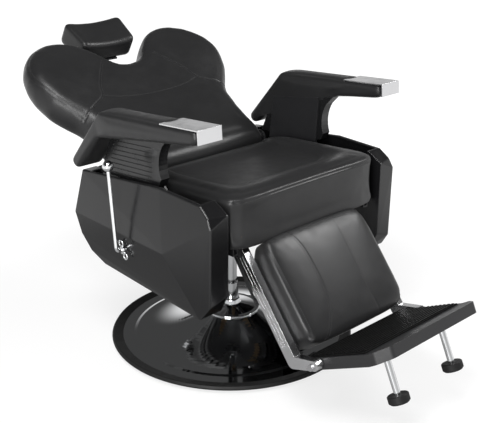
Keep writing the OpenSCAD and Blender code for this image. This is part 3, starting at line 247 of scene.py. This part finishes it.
def addBump(tree, shader, height, strength, distance, normal=None):
    bump = addNode(tree, "ShaderNodeBump", {"Strength": strength, "Distance": distance})
    tree.links.new(height, bump.inputs["Height"])
    if normal is not None:
        tree.links.new(normal, bump.inputs["Normal"])
    tree.links.new(bump.outputs["Normal"], shader.inputs["Normal"])


def mixColours(tree, factor, first, second):
    mix = addNode(tree, "ShaderNodeMix", data_type="RGBA")  # its colour sockets share their names
    mix.inputs[6].default_value = (*first, 1)
    mix.inputs[7].default_value = (*second, 1)
    tree.links.new(factor, mix.inputs[0])
    return mix.outputs[2]


leather = dict(dark=(0.012, 0.012, 0.0125), light=(0.019, 0.019, 0.0195), smooth=0.31, rough=0.41,
               specular=0.36, bump=0.35, depth=0.0006, sheen={"Sheen Weight": 0.04, "Sheen Roughness": 0.4})


def makeLeather():
    material, tree, shader = blankMaterial("blackLeather", leather["dark"], leather["rough"],
                                           specular=leather["specular"])
    grain = placeGroup(material, grainGroup)
    touched = placeGroup(material, handlingGroup, Least=leather["smooth"], Most=leather["rough"])
    colour = mixColours(tree, grain.outputs["Worn"], leather["dark"], leather["light"])
    tree.links.new(colour, shader.inputs["Base Color"])
    tree.links.new(touched.outputs["Roughness"], shader.inputs["Roughness"])
    addBump(tree, shader, grain.outputs["Height"], leather["bump"], leather["depth"])
    setSockets(shader, leather["sheen"])
    return material


hardGrain = dict(size=900.0, creases=60.0, depth=0.0004)


def makeHard(name, dark, light, smooth, rough, metallic=0.0, specular=0.5, ease=easedEdge["radius"],
             grain=0.0, grainSize=hardGrain["size"]):
    material, tree, shader = blankMaterial(name, dark, rough, metallic, specular)
    touched = placeGroup(material, handlingGroup, Least=smooth, Most=rough)
    tree.links.new(touched.outputs["Roughness"], shader.inputs["Roughness"])
    edge = placeGroup(material, edgeGroup, Radius=ease)
    # the base colour goes from dark to light along the edges: a painted highlight
    tree.links.new(mixColours(tree, edge.outputs["HighlightRim"], dark, light), shader.inputs["Base Color"])
    if grain:
        pebbles = placeGroup(material, grainGroup, Pebbles=grainSize, Creases=hardGrain["creases"])
        addBump(tree, shader, pebbles.outputs["Height"], grain, hardGrain["depth"], edge.outputs["Normal"])
    else:
        tree.links.new(edge.outputs["Normal"], shader.inputs["Normal"])
    return material


def makeBrushed(name, dark, light, smooth, rough, stretch):
    material, tree, shader = blankMaterial(name, dark, rough, 1.0)
    touched = placeGroup(material, handlingGroup, Least=smooth, Most=rough)
    lines = placeGroup(material, brushGroup, Stretch=stretch)
    edge = placeGroup(material, edgeGroup, Radius=easedEdge["radius"])
    tree.links.new(mixColours(tree, touched.outputs["Marks"], dark, light), shader.inputs["Base Color"])
    tree.links.new(touched.outputs["Roughness"], shader.inputs["Roughness"])
    addBump(tree, shader, lines.outputs["Height"], brush["depth"], brush["distance"], edge.outputs["Normal"])
    return material


plywood = dict(plain=(0.2, 0.14, 0.08), dark=(0.12, 0.08, 0.045), light=(0.24, 0.17, 0.1), roughness=0.7,
               specular=0.2, stretch=(0.02, 0.4, 0.4), bump=0.2, depth=0.0004)


def makeWood():
    material, tree, shader = blankMaterial("plywood", plywood["plain"], plywood["roughness"],
                                           specular=plywood["specular"])
    lines = placeGroup(material, brushGroup, Stretch=plywood["stretch"])
    colour = mixColours(tree, lines.outputs["Height"], plywood["dark"], plywood["light"])
    tree.links.new(colour, shader.inputs["Base Color"])
    addBump(tree, shader, lines.outputs["Height"], plywood["bump"], plywood["depth"])
    return material


# In these looks, and in treadLook and threadLook, light is the colour of the painted highlight along the
# edges
hardLooks = {
    "satin_shroud": dict(name="satinShroud", dark=(0.007, 0.007, 0.0075), light=(0.055, 0.055, 0.056),
                         smooth=0.16, rough=0.22, specular=0.4, ease=0.0034),
    "black_panel": dict(name="blackPanel", dark=(0.007, 0.007, 0.0075), light=(0.06, 0.06, 0.06),
                        smooth=0.2, rough=0.3, ease=0.001),
    "black_rubber": dict(name="blackRubber", dark=(0.009, 0.009, 0.009), light=(0.02, 0.02, 0.02),
                         smooth=0.5, rough=0.62, specular=0.3, grain=0.2),
    "cast_black": dict(name="castBlack", dark=(0.016, 0.016, 0.017), light=(0.05, 0.05, 0.05),
                       smooth=0.38, rough=0.5, grain=0.3, grainSize=500.0),
    "dark_steel": dict(name="darkSteel", dark=(0.012, 0.012, 0.013), light=(0.05, 0.05, 0.05),
                       smooth=0.35, rough=0.45, grain=0.15),
    "black_board": dict(name="blackBoard", dark=(0.012, 0.012, 0.012), light=(0.02, 0.02, 0.02),
                        smooth=0.6, rough=0.75, grain=0.3),
    "black_knob": dict(name="blackKnob", dark=(0.012, 0.012, 0.012), light=(0.03, 0.03, 0.03),
                       smooth=0.25, rough=0.35),
    "chrome": dict(name="chrome", dark=(0.80, 0.81, 0.82), light=(0.9, 0.9, 0.9),
                   smooth=0.035, rough=0.08, metallic=1.0, ease=0.0012),
}
brushedLooks = {
    "satin_chrome": dict(name="satinChrome", dark=(0.66, 0.66, 0.67), light=(0.74, 0.74, 0.75),
                         smooth=0.16, rough=0.26, stretch=(1.0, 0.04, 1.0)),
    "bright_steel": dict(name="brightSteel", dark=(0.5, 0.5, 0.51), light=(0.62, 0.62, 0.63),
                         smooth=0.22, rough=0.34, stretch=(0.1, 1.0, 1.0)),
    "brass": dict(name="brass", dark=(0.62, 0.45, 0.18), light=(0.7, 0.52, 0.24),
                  smooth=0.25, rough=0.35, stretch=(0.1, 1.0, 1.0)),
}
treadLook = dict(name="treadMat", dark=(0.004, 0.004, 0.004), light=(0.014, 0.014, 0.014),
                 smooth=0.5, rough=0.6, specular=0.09, grain=0.2)
threadLook = dict(name="thread", dark=(0.045, 0.045, 0.046), light=(0.06, 0.06, 0.06),
                  smooth=0.55, rough=0.7, specular=0.25)

finishes = {"black_leather": makeLeather()}
finishes.update({slot: makeHard(**look) for slot, look in hardLooks.items()})
finishes.update({slot: makeBrushed(**look) for slot, look in brushedLooks.items()})
finishes["plywood"] = makeWood()
slotOf = {part["node"]: part["material_slot"] for part in frame["record"]["subparts"]}


def giveFinish(piece, slotName):
    piece.data.materials.clear()
    piece.data.materials.append(finishes[slotName])


for nodeName, node in cadNodes.items():
    giveFinish(node, slotOf[nodeName])
cadNodes["footrest_mat"].data.materials[0] = makeHard(**treadLook)
threadFinish = makeHard(**threadLook)
print("finishes made:", len(finishes))

# Upholstery

tiny = 1e-9
skin = dict(weld=0.00005, relaxShare=0.5, pathSteps=10)


def selectOnly(piece):
    bpy.ops.object.select_all(action="DESELECT")
    piece.select_set(True)
    bpy.context.view_layer.objects.active = piece


def applyModifier(piece, kind, **values):
    modifier = piece.modifiers.new(kind.lower(), kind)
    for key, value in values.items():
        setattr(modifier, key, value)
    selectOnly(piece)
    bpy.ops.object.modifier_apply(modifier=modifier.name)


def relax(pad, times):
    applyModifier(pad, "SMOOTH", factor=skin["relaxShare"], iterations=times)


def refine(pad):
    applyModifier(pad, "SUBSURF", levels=1, render_levels=1)


def remesh(pad, voxel):
    pad.data.remesh_voxel_size = voxel
    selectOnly(pad)
    bpy.ops.object.voxel_remesh()


def readPoints(mesh, what="co"):
    flat = np.empty(len(mesh.vertices) * 3, np.float32)
    mesh.vertices.foreach_get(what, flat)
    return flat.reshape(-1, 3).astype(float)


def readNormals(mesh):
    return readPoints(mesh, "normal")


def writePoints(mesh, points):
    mesh.vertices.foreach_set("co", points.astype(np.float32).ravel())
    mesh.update()


def surfaceTree(mesh, sides):
    return BVHTree.FromPolygons([v.co for v in mesh.vertices], [tuple(side.vertices) for side in sides])


def smoothPath(points):
    ends = [points[0], *points, points[-1]]
    path = []
    for i in range(1, len(ends) - 2):
        a, b, c, d = (Vector(p) for p in ends[i - 1:i + 3])
        for k in range(skin["pathSteps"]):
            t = k / skin["pathSteps"]
            curve = 2 * b + (c - a) * t + (2 * a - 5 * b + 4 * c - d) * t * t
            path.append(0.5 * (curve + (3 * b - a - 3 * c + d) * t ** 3))
    path.append(Vector(points[-1]))
    return path


def pathDistance(flatPoints, path):
    best = np.full(len(flatPoints), np.inf)
    for a, b in zip(path[:-1], path[1:]):
        a, b = np.array(a), np.array(b)
        run = b - a
        t = np.clip(((flatPoints - a) @ run) / max(run @ run, tiny ** 2), 0, 1)
        best = np.minimum(best, np.linalg.norm(flatPoints - (a + t[:, None] * run), axis=1))
    return best


def inLay(points, layName):
    start, across, along, out = layAxes(layName)
    offset = points - np.array(start)
    return offset @ np.array(across), offset @ np.array(along), offset @ np.array(out)


# How a seam is drawn in: its groove, how soon it fades round an edge, and the rise beside a lap seam
sewn = dict(width=0.0024, depth=0.0013, fadeFrom=0.05, fadeOver=0.25, lapAt=0.0045, lapWidth=0.0028,
            lapRise=0.0003)


def seamFade(pad, seam):
    points, normals = readPoints(pad.data), readNormals(pad.data)
    out = np.array(layAxes(seam["lay"])[3])
    u, v, _ = inLay(points, seam["lay"])
    distance = pathDistance(np.stack([u, v], 1), smoothPath(seam["path"]))
    return distance, np.clip((normals @ out - sewn["fadeFrom"]) / sewn["fadeOver"], 0, 1)


def sewSeams(pad, seams):
    for seam in seams:
        distance, fade = seamFade(pad, seam)
        points, normals = readPoints(pad.data), readNormals(pad.data)
        width = seam.get("width", sewn["width"])
        groove = seam.get("depth", sewn["depth"]) * np.exp(-(distance / width) ** 2)
        if seam.get("double"):  # a lap seam lifts between its two rows of thread
            groove -= sewn["lapRise"] * np.exp(-((distance - sewn["lapAt"]) / sewn["lapWidth"]) ** 2)
        writePoints(pad.data, points - normals * (groove * fade)[:, None])


def softCopy(nodeName, pieceName, style):
    piece = bpy.data.objects.new(pieceName, cadNodes[nodeName].data.copy())
    scene.collection.objects.link(piece)
    applyModifier(piece, "WELD", merge_threshold=skin["weld"])
    remesh(piece, style["voxel"])
    relax(piece, style["smooth"])
    return piece


stuffing = dict(quality=4, mass=0.3, steps=16, quickShare=1.3, heldFacing=0.3)


def stuffCover(pad, style):
    cloth = pad.modifiers.new("stuffing", "CLOTH")
    cloth.settings.quality = stuffing["quality"]
    cloth.settings.mass = stuffing["mass"]
    cloth.settings.tension_stiffness = style["stiff"]
    cloth.settings.compression_stiffness = style["stiff"]
    cloth.settings.bending_stiffness = style["bend"]
    cloth.settings.use_pressure = True
    cloth.settings.uniform_pressure_force = style["pressure"]
    cloth.settings.effector_weights.gravity = 0
    cloth.settings.vertex_group_mass = "sewn"
    for step in range(1, stuffing["steps"] + 1):
        scene.frame_set(step)
    moved = pad.evaluated_get(bpy.context.evaluated_depsgraph_get())
    after = readPoints(moved.data)
    scene.frame_set(1)
    pad.modifiers.remove(cloth)
    return after


def inflate(pad, style, seams):
    mesh = pad.data
    start, normals = readPoints(mesh), readNormals(mesh)
    writePoints(mesh, start - normals * style["shrink"])
    base = readPoints(mesh)
    held = pad.vertex_groups.new(name="sewn")
    holds = np.zeros(len(base))
    for seam in seams:
        distance, fade = seamFade(pad, seam)
        holds = np.maximum(holds, (distance < style["sewnWidth"]) * (fade > stuffing["heldFacing"]))
    if "restsBelow" in style:
        layName, depth = style["restsBelow"]
        holds = np.maximum(holds, inLay(base, layName)[2] < depth)
    held.add([int(i) for i in np.nonzero(holds)[0]], 1.0, "REPLACE")
    shift = stuffCover(pad, style) - base
    pad.vertex_groups.remove(held)
    far = np.maximum(np.linalg.norm(shift, axis=1), tiny)
    eased = style["cap"] * np.tanh(far / style["cap"])
    writePoints(mesh, base + shift * (eased / far)[:, None])
    relax(pad, style["settle"])


# The pocket that holds a board is no part of the cover, and only sides that face the same way pull on it
cover = dict(boardMargin=0.004, sameWay=0.3)


def overBoard(point, board):
    margin = cover["boardMargin"]
    low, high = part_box(board)
    beside = all(low[k] - margin < point[k] < high[k] + margin for k in range(2))
    return beside and point[2] < high[2] + margin


def fillOut(pad, nodeName, style, board=None):
    source = cadNodes[nodeName].data
    sides = [side for side in source.polygons if not (board and overBoard(side.center, board))]
    tree = surfaceTree(source, sides)
    points, normals = readPoints(pad.data), readNormals(pad.data)
    for i, point in enumerate(points):
        near, normal, _, _ = tree.find_nearest(Vector(point))
        inside = (near - Vector(point)).dot(normal)
        if inside > style["within"] and normal.dot(Vector(normals[i])) > cover["sameWay"]:
            points[i] += np.array(normal) * (inside - style["within"])  # drawn in past the cover's true line
    writePoints(pad.data, points)
    relax(pad, style["fillSettle"])


thread = dict(length=0.0034, gap=0.0016, thick=0.0007, lift=0.0001, offset=0.0034, sides=6, shoulder=0.7,
              endShare=0.35, tuck=1.2, castFrom=1.0)


def stitchRow(tree, seam, side, places):
    start, across, along, out = layAxes(seam["lay"])
    path = smoothPath(seam["path"])
    walked = 0.0
    for a, b in zip(path[:-1], path[1:]):
        run = b - a
        if run.length < tiny:
            continue
        beside = Vector((-run.y, run.x)).normalized()
        while walked < run.length:
            spot = a + run * (walked / run.length) + beside * side * thread["offset"]
            walked += thread["length"] + thread["gap"]
            origin = start + across * spot.x + along * spot.y
            hit, normal, _, _ = tree.ray_cast(origin + out * thread["castFrom"], -out)
            if hit is None:
                continue
            towards = (across * run.x + along * run.y).normalized()
            towards = (towards - normal * towards.dot(normal)).normalized()
            places.append((hit + normal * thread["lift"], towards, normal))
        walked -= run.length


def threadMesh():
    bm = bmesh.new()
    half, r, sides = thread["length"] / 2, thread["thick"] / 2, thread["sides"]
    shoulder = half * thread["shoulder"]
    rings = [(-half, thread["endShare"]), (-shoulder, 1.0), (shoulder, 1.0), (half, thread["endShare"])]
    loops = []
    for x, share in rings:
        drop = -r * thread["tuck"] if share < 1 else 0.0
        loops.append([bm.verts.new((x, r * share * math.cos(a), r * share * math.sin(a) + drop))
                      for a in (2 * math.pi * k / sides for k in range(sides))])
    for one, two in zip(loops[:-1], loops[1:]):
        for k in range(sides):
            after = (k + 1) % sides
            bm.faces.new((one[k], one[after], two[after], two[k]))
    bm.faces.new(loops[0][::-1])
    bm.faces.new(loops[-1])
    bmesh.ops.recalc_face_normals(bm, faces=bm.faces)
    bm.verts.index_update()
    points = [v.co.copy() for v in bm.verts]
    faces = [[v.index for v in f.verts] for f in bm.faces]
    bm.free()
    return points, faces


def stitch(pad, name, seams, body):
    tree = surfaceTree(pad.data, pad.data.polygons)
    places = []
    for seam in seams:
        for side in seam.get("threads", (-1, 1)):
            stitchRow(tree, seam, side, places)
    points, faces = threadMesh()
    allPoints, allFaces = [], []
    for centre, towards, normal in places:
        turn = Matrix((towards, normal.cross(towards), normal)).transposed()
        first = len(allPoints)
        allPoints += [centre + turn @ p for p in points]
        allFaces += [[first + i for i in f] for f in faces]
    mesh = bpy.data.meshes.new(name)
    mesh.from_pydata(allPoints, [], allFaces)
    piece = bpy.data.objects.new(name, mesh)
    scene.collection.objects.link(piece)
    piece.data.materials.append(threadFinish)
    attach(piece, body)


def finishPad(pad, body, nodeName):
    selectOnly(pad)
    bpy.ops.object.shade_smooth()
    giveFinish(pad, "black_leather")
    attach(pad, body)
    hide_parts(nodeName)


def mirrored(seam):
    return dict(seam, path=[(-x, y) for x, y in seam["path"]])


# Back

back = dict(
    lobe=dict(lay="back", double=True, path=[
        (0.089, 0.395), (0.127, 0.345), (0.150, 0.310), (0.165, 0.276), (0.206, 0.250), (0.246, 0.226)]),
    cross=dict(lay="back", depth=0.0008, threads=(1,), path=[
        (-0.165, 0.276), (-0.12, 0.262), (-0.06, 0.254), (0, 0.252), (0.06, 0.254), (0.12, 0.262),
        (0.165, 0.276)]),
    outer=dict(lay="back", depth=0.0007, width=0.0018, path=[
        (0.246, 0.226), (0.261, 0.254), (0.281, 0.290), (0.299, 0.332), (0.311, 0.369), (0.309, 0.405),
        (0.290, 0.443), (0.258, 0.474)]),
    style=dict(voxel=0.007, smooth=6, shrink=0.004, pressure=4.0, cap=0.009, stiff=12, bend=0.6,
               sewnWidth=0.004, settle=8, within=0.0005, fillSettle=14, fill=0.8,
               restsBelow=("back", -0.085)),
)


def makeBack():
    inner = [back["lobe"], mirrored(back["lobe"]), back["cross"]]
    outer = [back["outer"], mirrored(back["outer"])]
    pad = softCopy("back_cushion", "back_upholstery", back["style"])
    inflate(pad, back["style"], inner)  # the outer seams lie too near the edge to hold the cover down
    fillOut(pad, "back_cushion", back["style"])
    refine(pad)
    sewSeams(pad, inner + outer)
    finishPad(pad, "back", "back_cushion")
    stitch(pad, "back_stitching", inner + outer, "back")
    print("back upholstered:", len(pad.data.polygons), "faces")


makeBack()

# Seat

seat = dict(
    recessHalf=(0.187, 0.215), recessMiddle=(0.0, 0.03), recessRound=0.075, recessDepth=0.008,
    recessEase=0.022, topFrom=0.3, topOver=0.4,
    front=dict(lay="seatFace", double=True, depth=0.0018, path=[
        (-0.236, 0.5065), (-0.1, 0.5095), (0.1, 0.5095), (0.236, 0.5065)]),
    cornerMiddle=(0, -0.086), cornerHalf=(0.258, 0.2), cornerRound=(0.020, 0.058), cornerRise=(0.425, 0.48),
    cornerSettle=3,
    style=dict(voxel=0.006, smooth=6, shrink=0.003, pressure=3.5, cap=0.007, stiff=15, bend=0.8,
               sewnWidth=0.004, settle=5, within=0.002, fillSettle=2, fill=0.75,
               restsBelow=("seatTop", 0.42)),
)


def boxDistance(u, v, middle, half, corner):
    du = np.abs(u - middle[0]) - (half[0] - corner)
    dv = np.abs(v - middle[1]) - (half[1] - corner)
    outside = np.hypot(np.maximum(du, 0), np.maximum(dv, 0))
    inside = np.minimum(np.maximum(du, dv), 0)
    return outside + inside - corner


def pressRecess(pad):
    points, normals = readPoints(pad.data), readNormals(pad.data)
    u, v, _ = inLay(points, "seatTop")
    distance = boxDistance(u, v, seat["recessMiddle"], seat["recessHalf"], seat["recessRound"])
    t = np.clip(0.5 - distance / seat["recessEase"], 0, 1)
    step = t * t * (3 - 2 * t)
    up = np.clip((normals[:, 2] - seat["topFrom"]) / seat["topOver"], 0, 1)
    points[:, 2] -= seat["recessDepth"] * step * up
    writePoints(pad.data, points)


def roundCorners(pad):
    points = readPoints(pad.data)
    middle, half = seat["cornerMiddle"], seat["cornerHalf"]
    least, most = seat["cornerRound"]
    low, high = seat["cornerRise"]
    corner = least + (most - least) * np.clip((points[:, 2] - low) / (high - low), 0, 1)
    du = points[:, 0] - middle[0]
    dv = points[:, 1] - middle[1]
    overU = np.maximum(np.abs(du) - (half[0] - corner), 0)
    overV = np.maximum(-dv - (half[1] - corner), 0)
    reach = np.hypot(overU, overV)
    pull = np.where((overU > 0) & (overV > 0) & (reach > corner), corner / np.maximum(reach, tiny), 1.0)
    points[:, 0] -= np.sign(du) * overU * (1 - pull)
    points[:, 1] += overV * (1 - pull)
    writePoints(pad.data, points)
    relax(pad, seat["cornerSettle"])


def makeSeat():
    seams = [seat["front"]]
    pad = softCopy("seat_cushion", "seat_upholstery", seat["style"])
    inflate(pad, seat["style"], seams)
    fillOut(pad, "seat_cushion", seat["style"], board="seat_board")
    roundCorners(pad)
    refine(pad)
    pressRecess(pad)
    sewSeams(pad, seams)
    finishPad(pad, "seat", "seat_cushion")
    stitch(pad, "seat_stitching", seams, "seat")
    print("seat upholstered:", len(pad.data.polygons), "faces")


makeSeat()

# Legrest

legrest = dict(
    near=dict(lay="legrest", depth=0.0008, path=[(-0.166, 0.030), (-0.164, 0.158), (-0.162, 0.290)]),
    pair=dict(lay="legrest", depth=0.001, path=[
        (-0.090, 0.030), (-0.073, 0.082), (-0.070, 0.172), (-0.080, 0.224), (-0.100, 0.262),
        (-0.124, 0.294)]),
    far=dict(lay="legrest", depth=0.0006, threads=(1,), path=[
        (0.064, 0.030), (0.064, 0.082), (0.061, 0.151), (0.059, 0.218), (0.067, 0.294)]),
    reach=0.025, reachEdge=0.008, reachFull=0.05, reachFrom=0.14, reachRise=(-0.02, 0.010),
    edgeFrom=(0.125, 0.165),
    style=dict(voxel=0.006, smooth=2, shrink=0.001, pressure=3.0, cap=0.004, stiff=20, bend=0.8,
               sewnWidth=0.004, settle=4, within=0.002, fillSettle=2, fill=0.7,
               restsBelow=("legrest", 0.02)),
)


def reachUnderSeat(pad):
    points = readPoints(pad.data)
    _, along, out = inLay(points, "legrest")
    low, high = legrest["reachRise"]
    near = np.clip((legrest["reachFrom"] - along) / (legrest["reachFrom"] - legrest["reachFull"]), 0, 1)
    risen = np.clip((out - low) / (high - low), 0, 1)
    inner, outer = legrest["edgeFrom"]
    edge = np.clip((np.abs(points[:, 0]) - inner) / (outer - inner), 0, 1)
    reach = (legrest["reach"] + legrest["reachEdge"] * edge) * near * risen
    writePoints(pad.data, points - np.array(layAxes("legrest")[2]) * reach[:, None])


def makeLegrest():
    seams = [legrest["near"], mirrored(legrest["near"]), legrest["pair"], legrest["far"]]
    pad = softCopy("legrest_cushion", "legrest_upholstery", legrest["style"])
    inflate(pad, legrest["style"], seams)
    fillOut(pad, "legrest_cushion", legrest["style"])
    reachUnderSeat(pad)
    refine(pad)
    sewSeams(pad, seams)
    finishPad(pad, "legrest", "legrest_cushion")
    stitch(pad, "legrest_stitching", seams, "legrest")
    print("legrest upholstered:", len(pad.data.polygons), "faces")


makeLegrest()

# Headrest

headrest = dict(lowAlong=0.477, highAlong=0.584, rear=-0.078, face=-0.004, halfLow=0.088, halfHigh=0.096,
                hollow=0.013, edge=0.017, cuts=23, voxel=0.004, settle=4, fill=0.9)


def makeHeadrest():
    start, across, along, out = (np.array(v) for v in layAxes("back"))
    bpy.ops.object.select_all(action="DESELECT")
    bpy.ops.mesh.primitive_cube_add(size=1)
    pad = bpy.context.object
    pad.name = "headrest_upholstery"
    bpy.ops.object.mode_set(mode="EDIT")
    bpy.ops.mesh.select_all(action="SELECT")
    bpy.ops.mesh.subdivide(number_cuts=headrest["cuts"])
    bpy.ops.object.mode_set(mode="OBJECT")
    low, high = headrest["lowAlong"], headrest["highAlong"]
    rear, face = headrest["rear"], headrest["face"]
    size = np.array((2 * headrest["halfHigh"], high - low, face - rear))
    block = readPoints(pad.data) * size
    edge = headrest["edge"]
    core = np.clip(block, edge - size / 2, size / 2 - edge)
    over = block - core  # every point outside the core is drawn in to the same round edge
    block = core + over * (edge / np.linalg.norm(over, axis=1))[:, None]
    share = block / size + 0.5
    half = headrest["halfLow"] + (headrest["halfHigh"] - headrest["halfLow"]) * share[:, 1]
    u = block[:, 0] * half / headrest["halfHigh"]
    v = low + block[:, 1] + size[1] / 2
    w = rear + block[:, 2] + size[2] / 2
    w -= headrest["hollow"] * (1 - (u / headrest["halfHigh"]) ** 2) * share[:, 2]
    writePoints(pad.data, start + u[:, None] * across + v[:, None] * along + w[:, None] * out)
    remesh(pad, headrest["voxel"])
    relax(pad, headrest["settle"])
    refine(pad)
    finishPad(pad, "headrest", "headrest_cushion")
    print("headrest upholstered:", len(pad.data.polygons), "faces")


makeHeadrest()

# Arm pads

armPads = dict(
    pieces={"arm_pad_left": "arm_upholstery_left", "arm_pad_right": "arm_upholstery_right"},
    style=dict(voxel=0.005, smooth=4, shrink=0.001, pressure=3.0, cap=0.004, stiff=18, bend=0.8, settle=3,
               within=0.0012, fillSettle=2, fill=0.8),
)


def makeArmPads():
    style = armPads["style"]
    for nodeName, pieceName in armPads["pieces"].items():
        pad = softCopy(nodeName, pieceName, style)
        inflate(pad, style, [])
        fillOut(pad, nodeName, style)
        refine(pad)
        finishPad(pad, "seat", nodeName)
    print("arm pads upholstered:", len(armPads["pieces"]))


makeArmPads()

# Studio

# What the camera sees of the floor goes from nearGlow to farGlow, what glossy rays see of it goes from
# shadeNear to shadeFar, a painted shadow of the chair on the floor near it, and the sky darkens from skyWhite
# to skyHigh as it rises
studio = dict(
    middle=(0, -0.05, 0.45), floorSize=24.0, floorDrop=0.0005, floorTone=0.26,
    glowNear=0.7, glowFar=1.7, nearGlow=0.74, farGlow=1.0,
    shadeFrom=0.8, shadeTo=1.6, shadeNear=0.12, shadeFar=0.9,
    skyFrom=0.05, skyTo=0.40, skyWhite=1.0, skyHigh=0.07, ambient=0.32,
)
lamps = {
    "keyLeft": dict(towards=(-0.50, -0.30, 0.80), reach=3.0, size=(1.2, 1.2), power=72),
    "farRight": dict(towards=(0.66, -0.40, 0.63), reach=3.0, size=(1.4, 1.1), power=50),
    "frontLow": dict(towards=(-0.82, -0.48, 0.22), reach=3.2, size=(1.3, 1.3), power=70),
}


def spreadGlow(tree, distance, names):
    labels = ("From Min", "From Max", "To Min", "To Max")
    sockets = {label: studio[name] for label, name in zip(labels, names)}
    spread = addNode(tree, "ShaderNodeMapRange", sockets, interpolation_type="SMOOTHSTEP")
    tree.links.new(distance, spread.inputs["Value"])
    return spread.outputs["Result"]


def shineRays(tree, path):
    return addMath(tree, "MAXIMUM", path.outputs["Is Glossy Ray"], path.outputs["Is Transmission Ray"])


def makeFloor():
    bpy.ops.object.select_all(action="DESELECT")
    bpy.ops.mesh.primitive_plane_add(size=studio["floorSize"], location=(0, 0, -studio["floorDrop"]))
    floor = bpy.context.object
    floor.name = "studio_floor"
    material = bpy.data.materials.new("studioFloor")
    material.use_nodes = True
    tree = material.node_tree
    tree.nodes.clear()
    lit = addNode(tree, "ShaderNodeBsdfDiffuse", {"Color": (studio["floorTone"],) * 3 + (1,)})
    glow = addNode(tree, "ShaderNodeEmission")
    path = addNode(tree, "ShaderNodeLightPath")
    where = addNode(tree, "ShaderNodeTexCoord")
    away = addNode(tree, "ShaderNodeVectorMath", operation="LENGTH")
    tree.links.new(where.outputs["Object"], away.inputs[0])
    direct = spreadGlow(tree, away.outputs["Value"], ("glowNear", "glowFar", "nearGlow", "farGlow"))
    direct = addMath(tree, "MULTIPLY", path.outputs["Is Camera Ray"], direct)
    # glossy rays see the floor dark near the chair: a painted shadow of the chair
    shine = spreadGlow(tree, away.outputs["Value"], ("shadeFrom", "shadeTo", "shadeNear", "shadeFar"))
    shine = addMath(tree, "MULTIPLY", shineRays(tree, path), shine)
    tree.links.new(addMath(tree, "ADD", direct, shine), glow.inputs["Strength"])
    both = addNode(tree, "ShaderNodeAddShader")
    end = addNode(tree, "ShaderNodeOutputMaterial")
    tree.links.new(lit.outputs[0], both.inputs[0])
    tree.links.new(glow.outputs[0], both.inputs[1])
    tree.links.new(both.outputs[0], end.inputs["Surface"])
    floor.data.materials.append(material)


def makeWorld():
    world = bpy.data.worlds.new("studio")
    scene.world = world
    world.use_nodes = True
    tree = world.node_tree
    tree.nodes.clear()
    path = addNode(tree, "ShaderNodeLightPath")
    where = addNode(tree, "ShaderNodeTexCoord")
    parts = addNode(tree, "ShaderNodeSeparateXYZ")
    tree.links.new(where.outputs["Generated"], parts.inputs[0])
    fade = spreadGlow(tree, parts.outputs["Z"], ("skyFrom", "skyTo", "skyWhite", "skyHigh"))
    shine = shineRays(tree, path)
    seenShine = addMath(tree, "MULTIPLY", shine, fade)
    seenDirect = addMath(tree, "MAXIMUM", seenShine, path.outputs["Is Camera Ray"])
    seen = addMath(tree, "MAXIMUM", shine, path.outputs["Is Camera Ray"])
    hidden = addMath(tree, "MULTIPLY", addMath(tree, "SUBTRACT", 1.0, seen), studio["ambient"])
    light = addNode(tree, "ShaderNodeBackground")
    tree.links.new(addMath(tree, "ADD", seenDirect, hidden), light.inputs["Strength"])
    end = addNode(tree, "ShaderNodeOutputWorld")
    tree.links.new(light.outputs[0], end.inputs["Surface"])


def makeLamps():
    for name, lamp in lamps.items():
        light = bpy.data.lights.new(name, "AREA")
        light.shape = "RECTANGLE"
        light.size, light.size_y = lamp["size"]
        light.energy = lamp["power"]
        holder = bpy.data.objects.new(name, light)
        direction = Vector(lamp["towards"]).normalized()
        holder.location = Vector(studio["middle"]) + direction * lamp["reach"]
        holder.rotation_euler = (-direction).to_track_quat("-Z", "Y").to_euler()
        scene.collection.objects.link(holder)


makeFloor()
makeWorld()
makeLamps()
scene.view_settings.view_transform = "Standard"
print("studio lit")
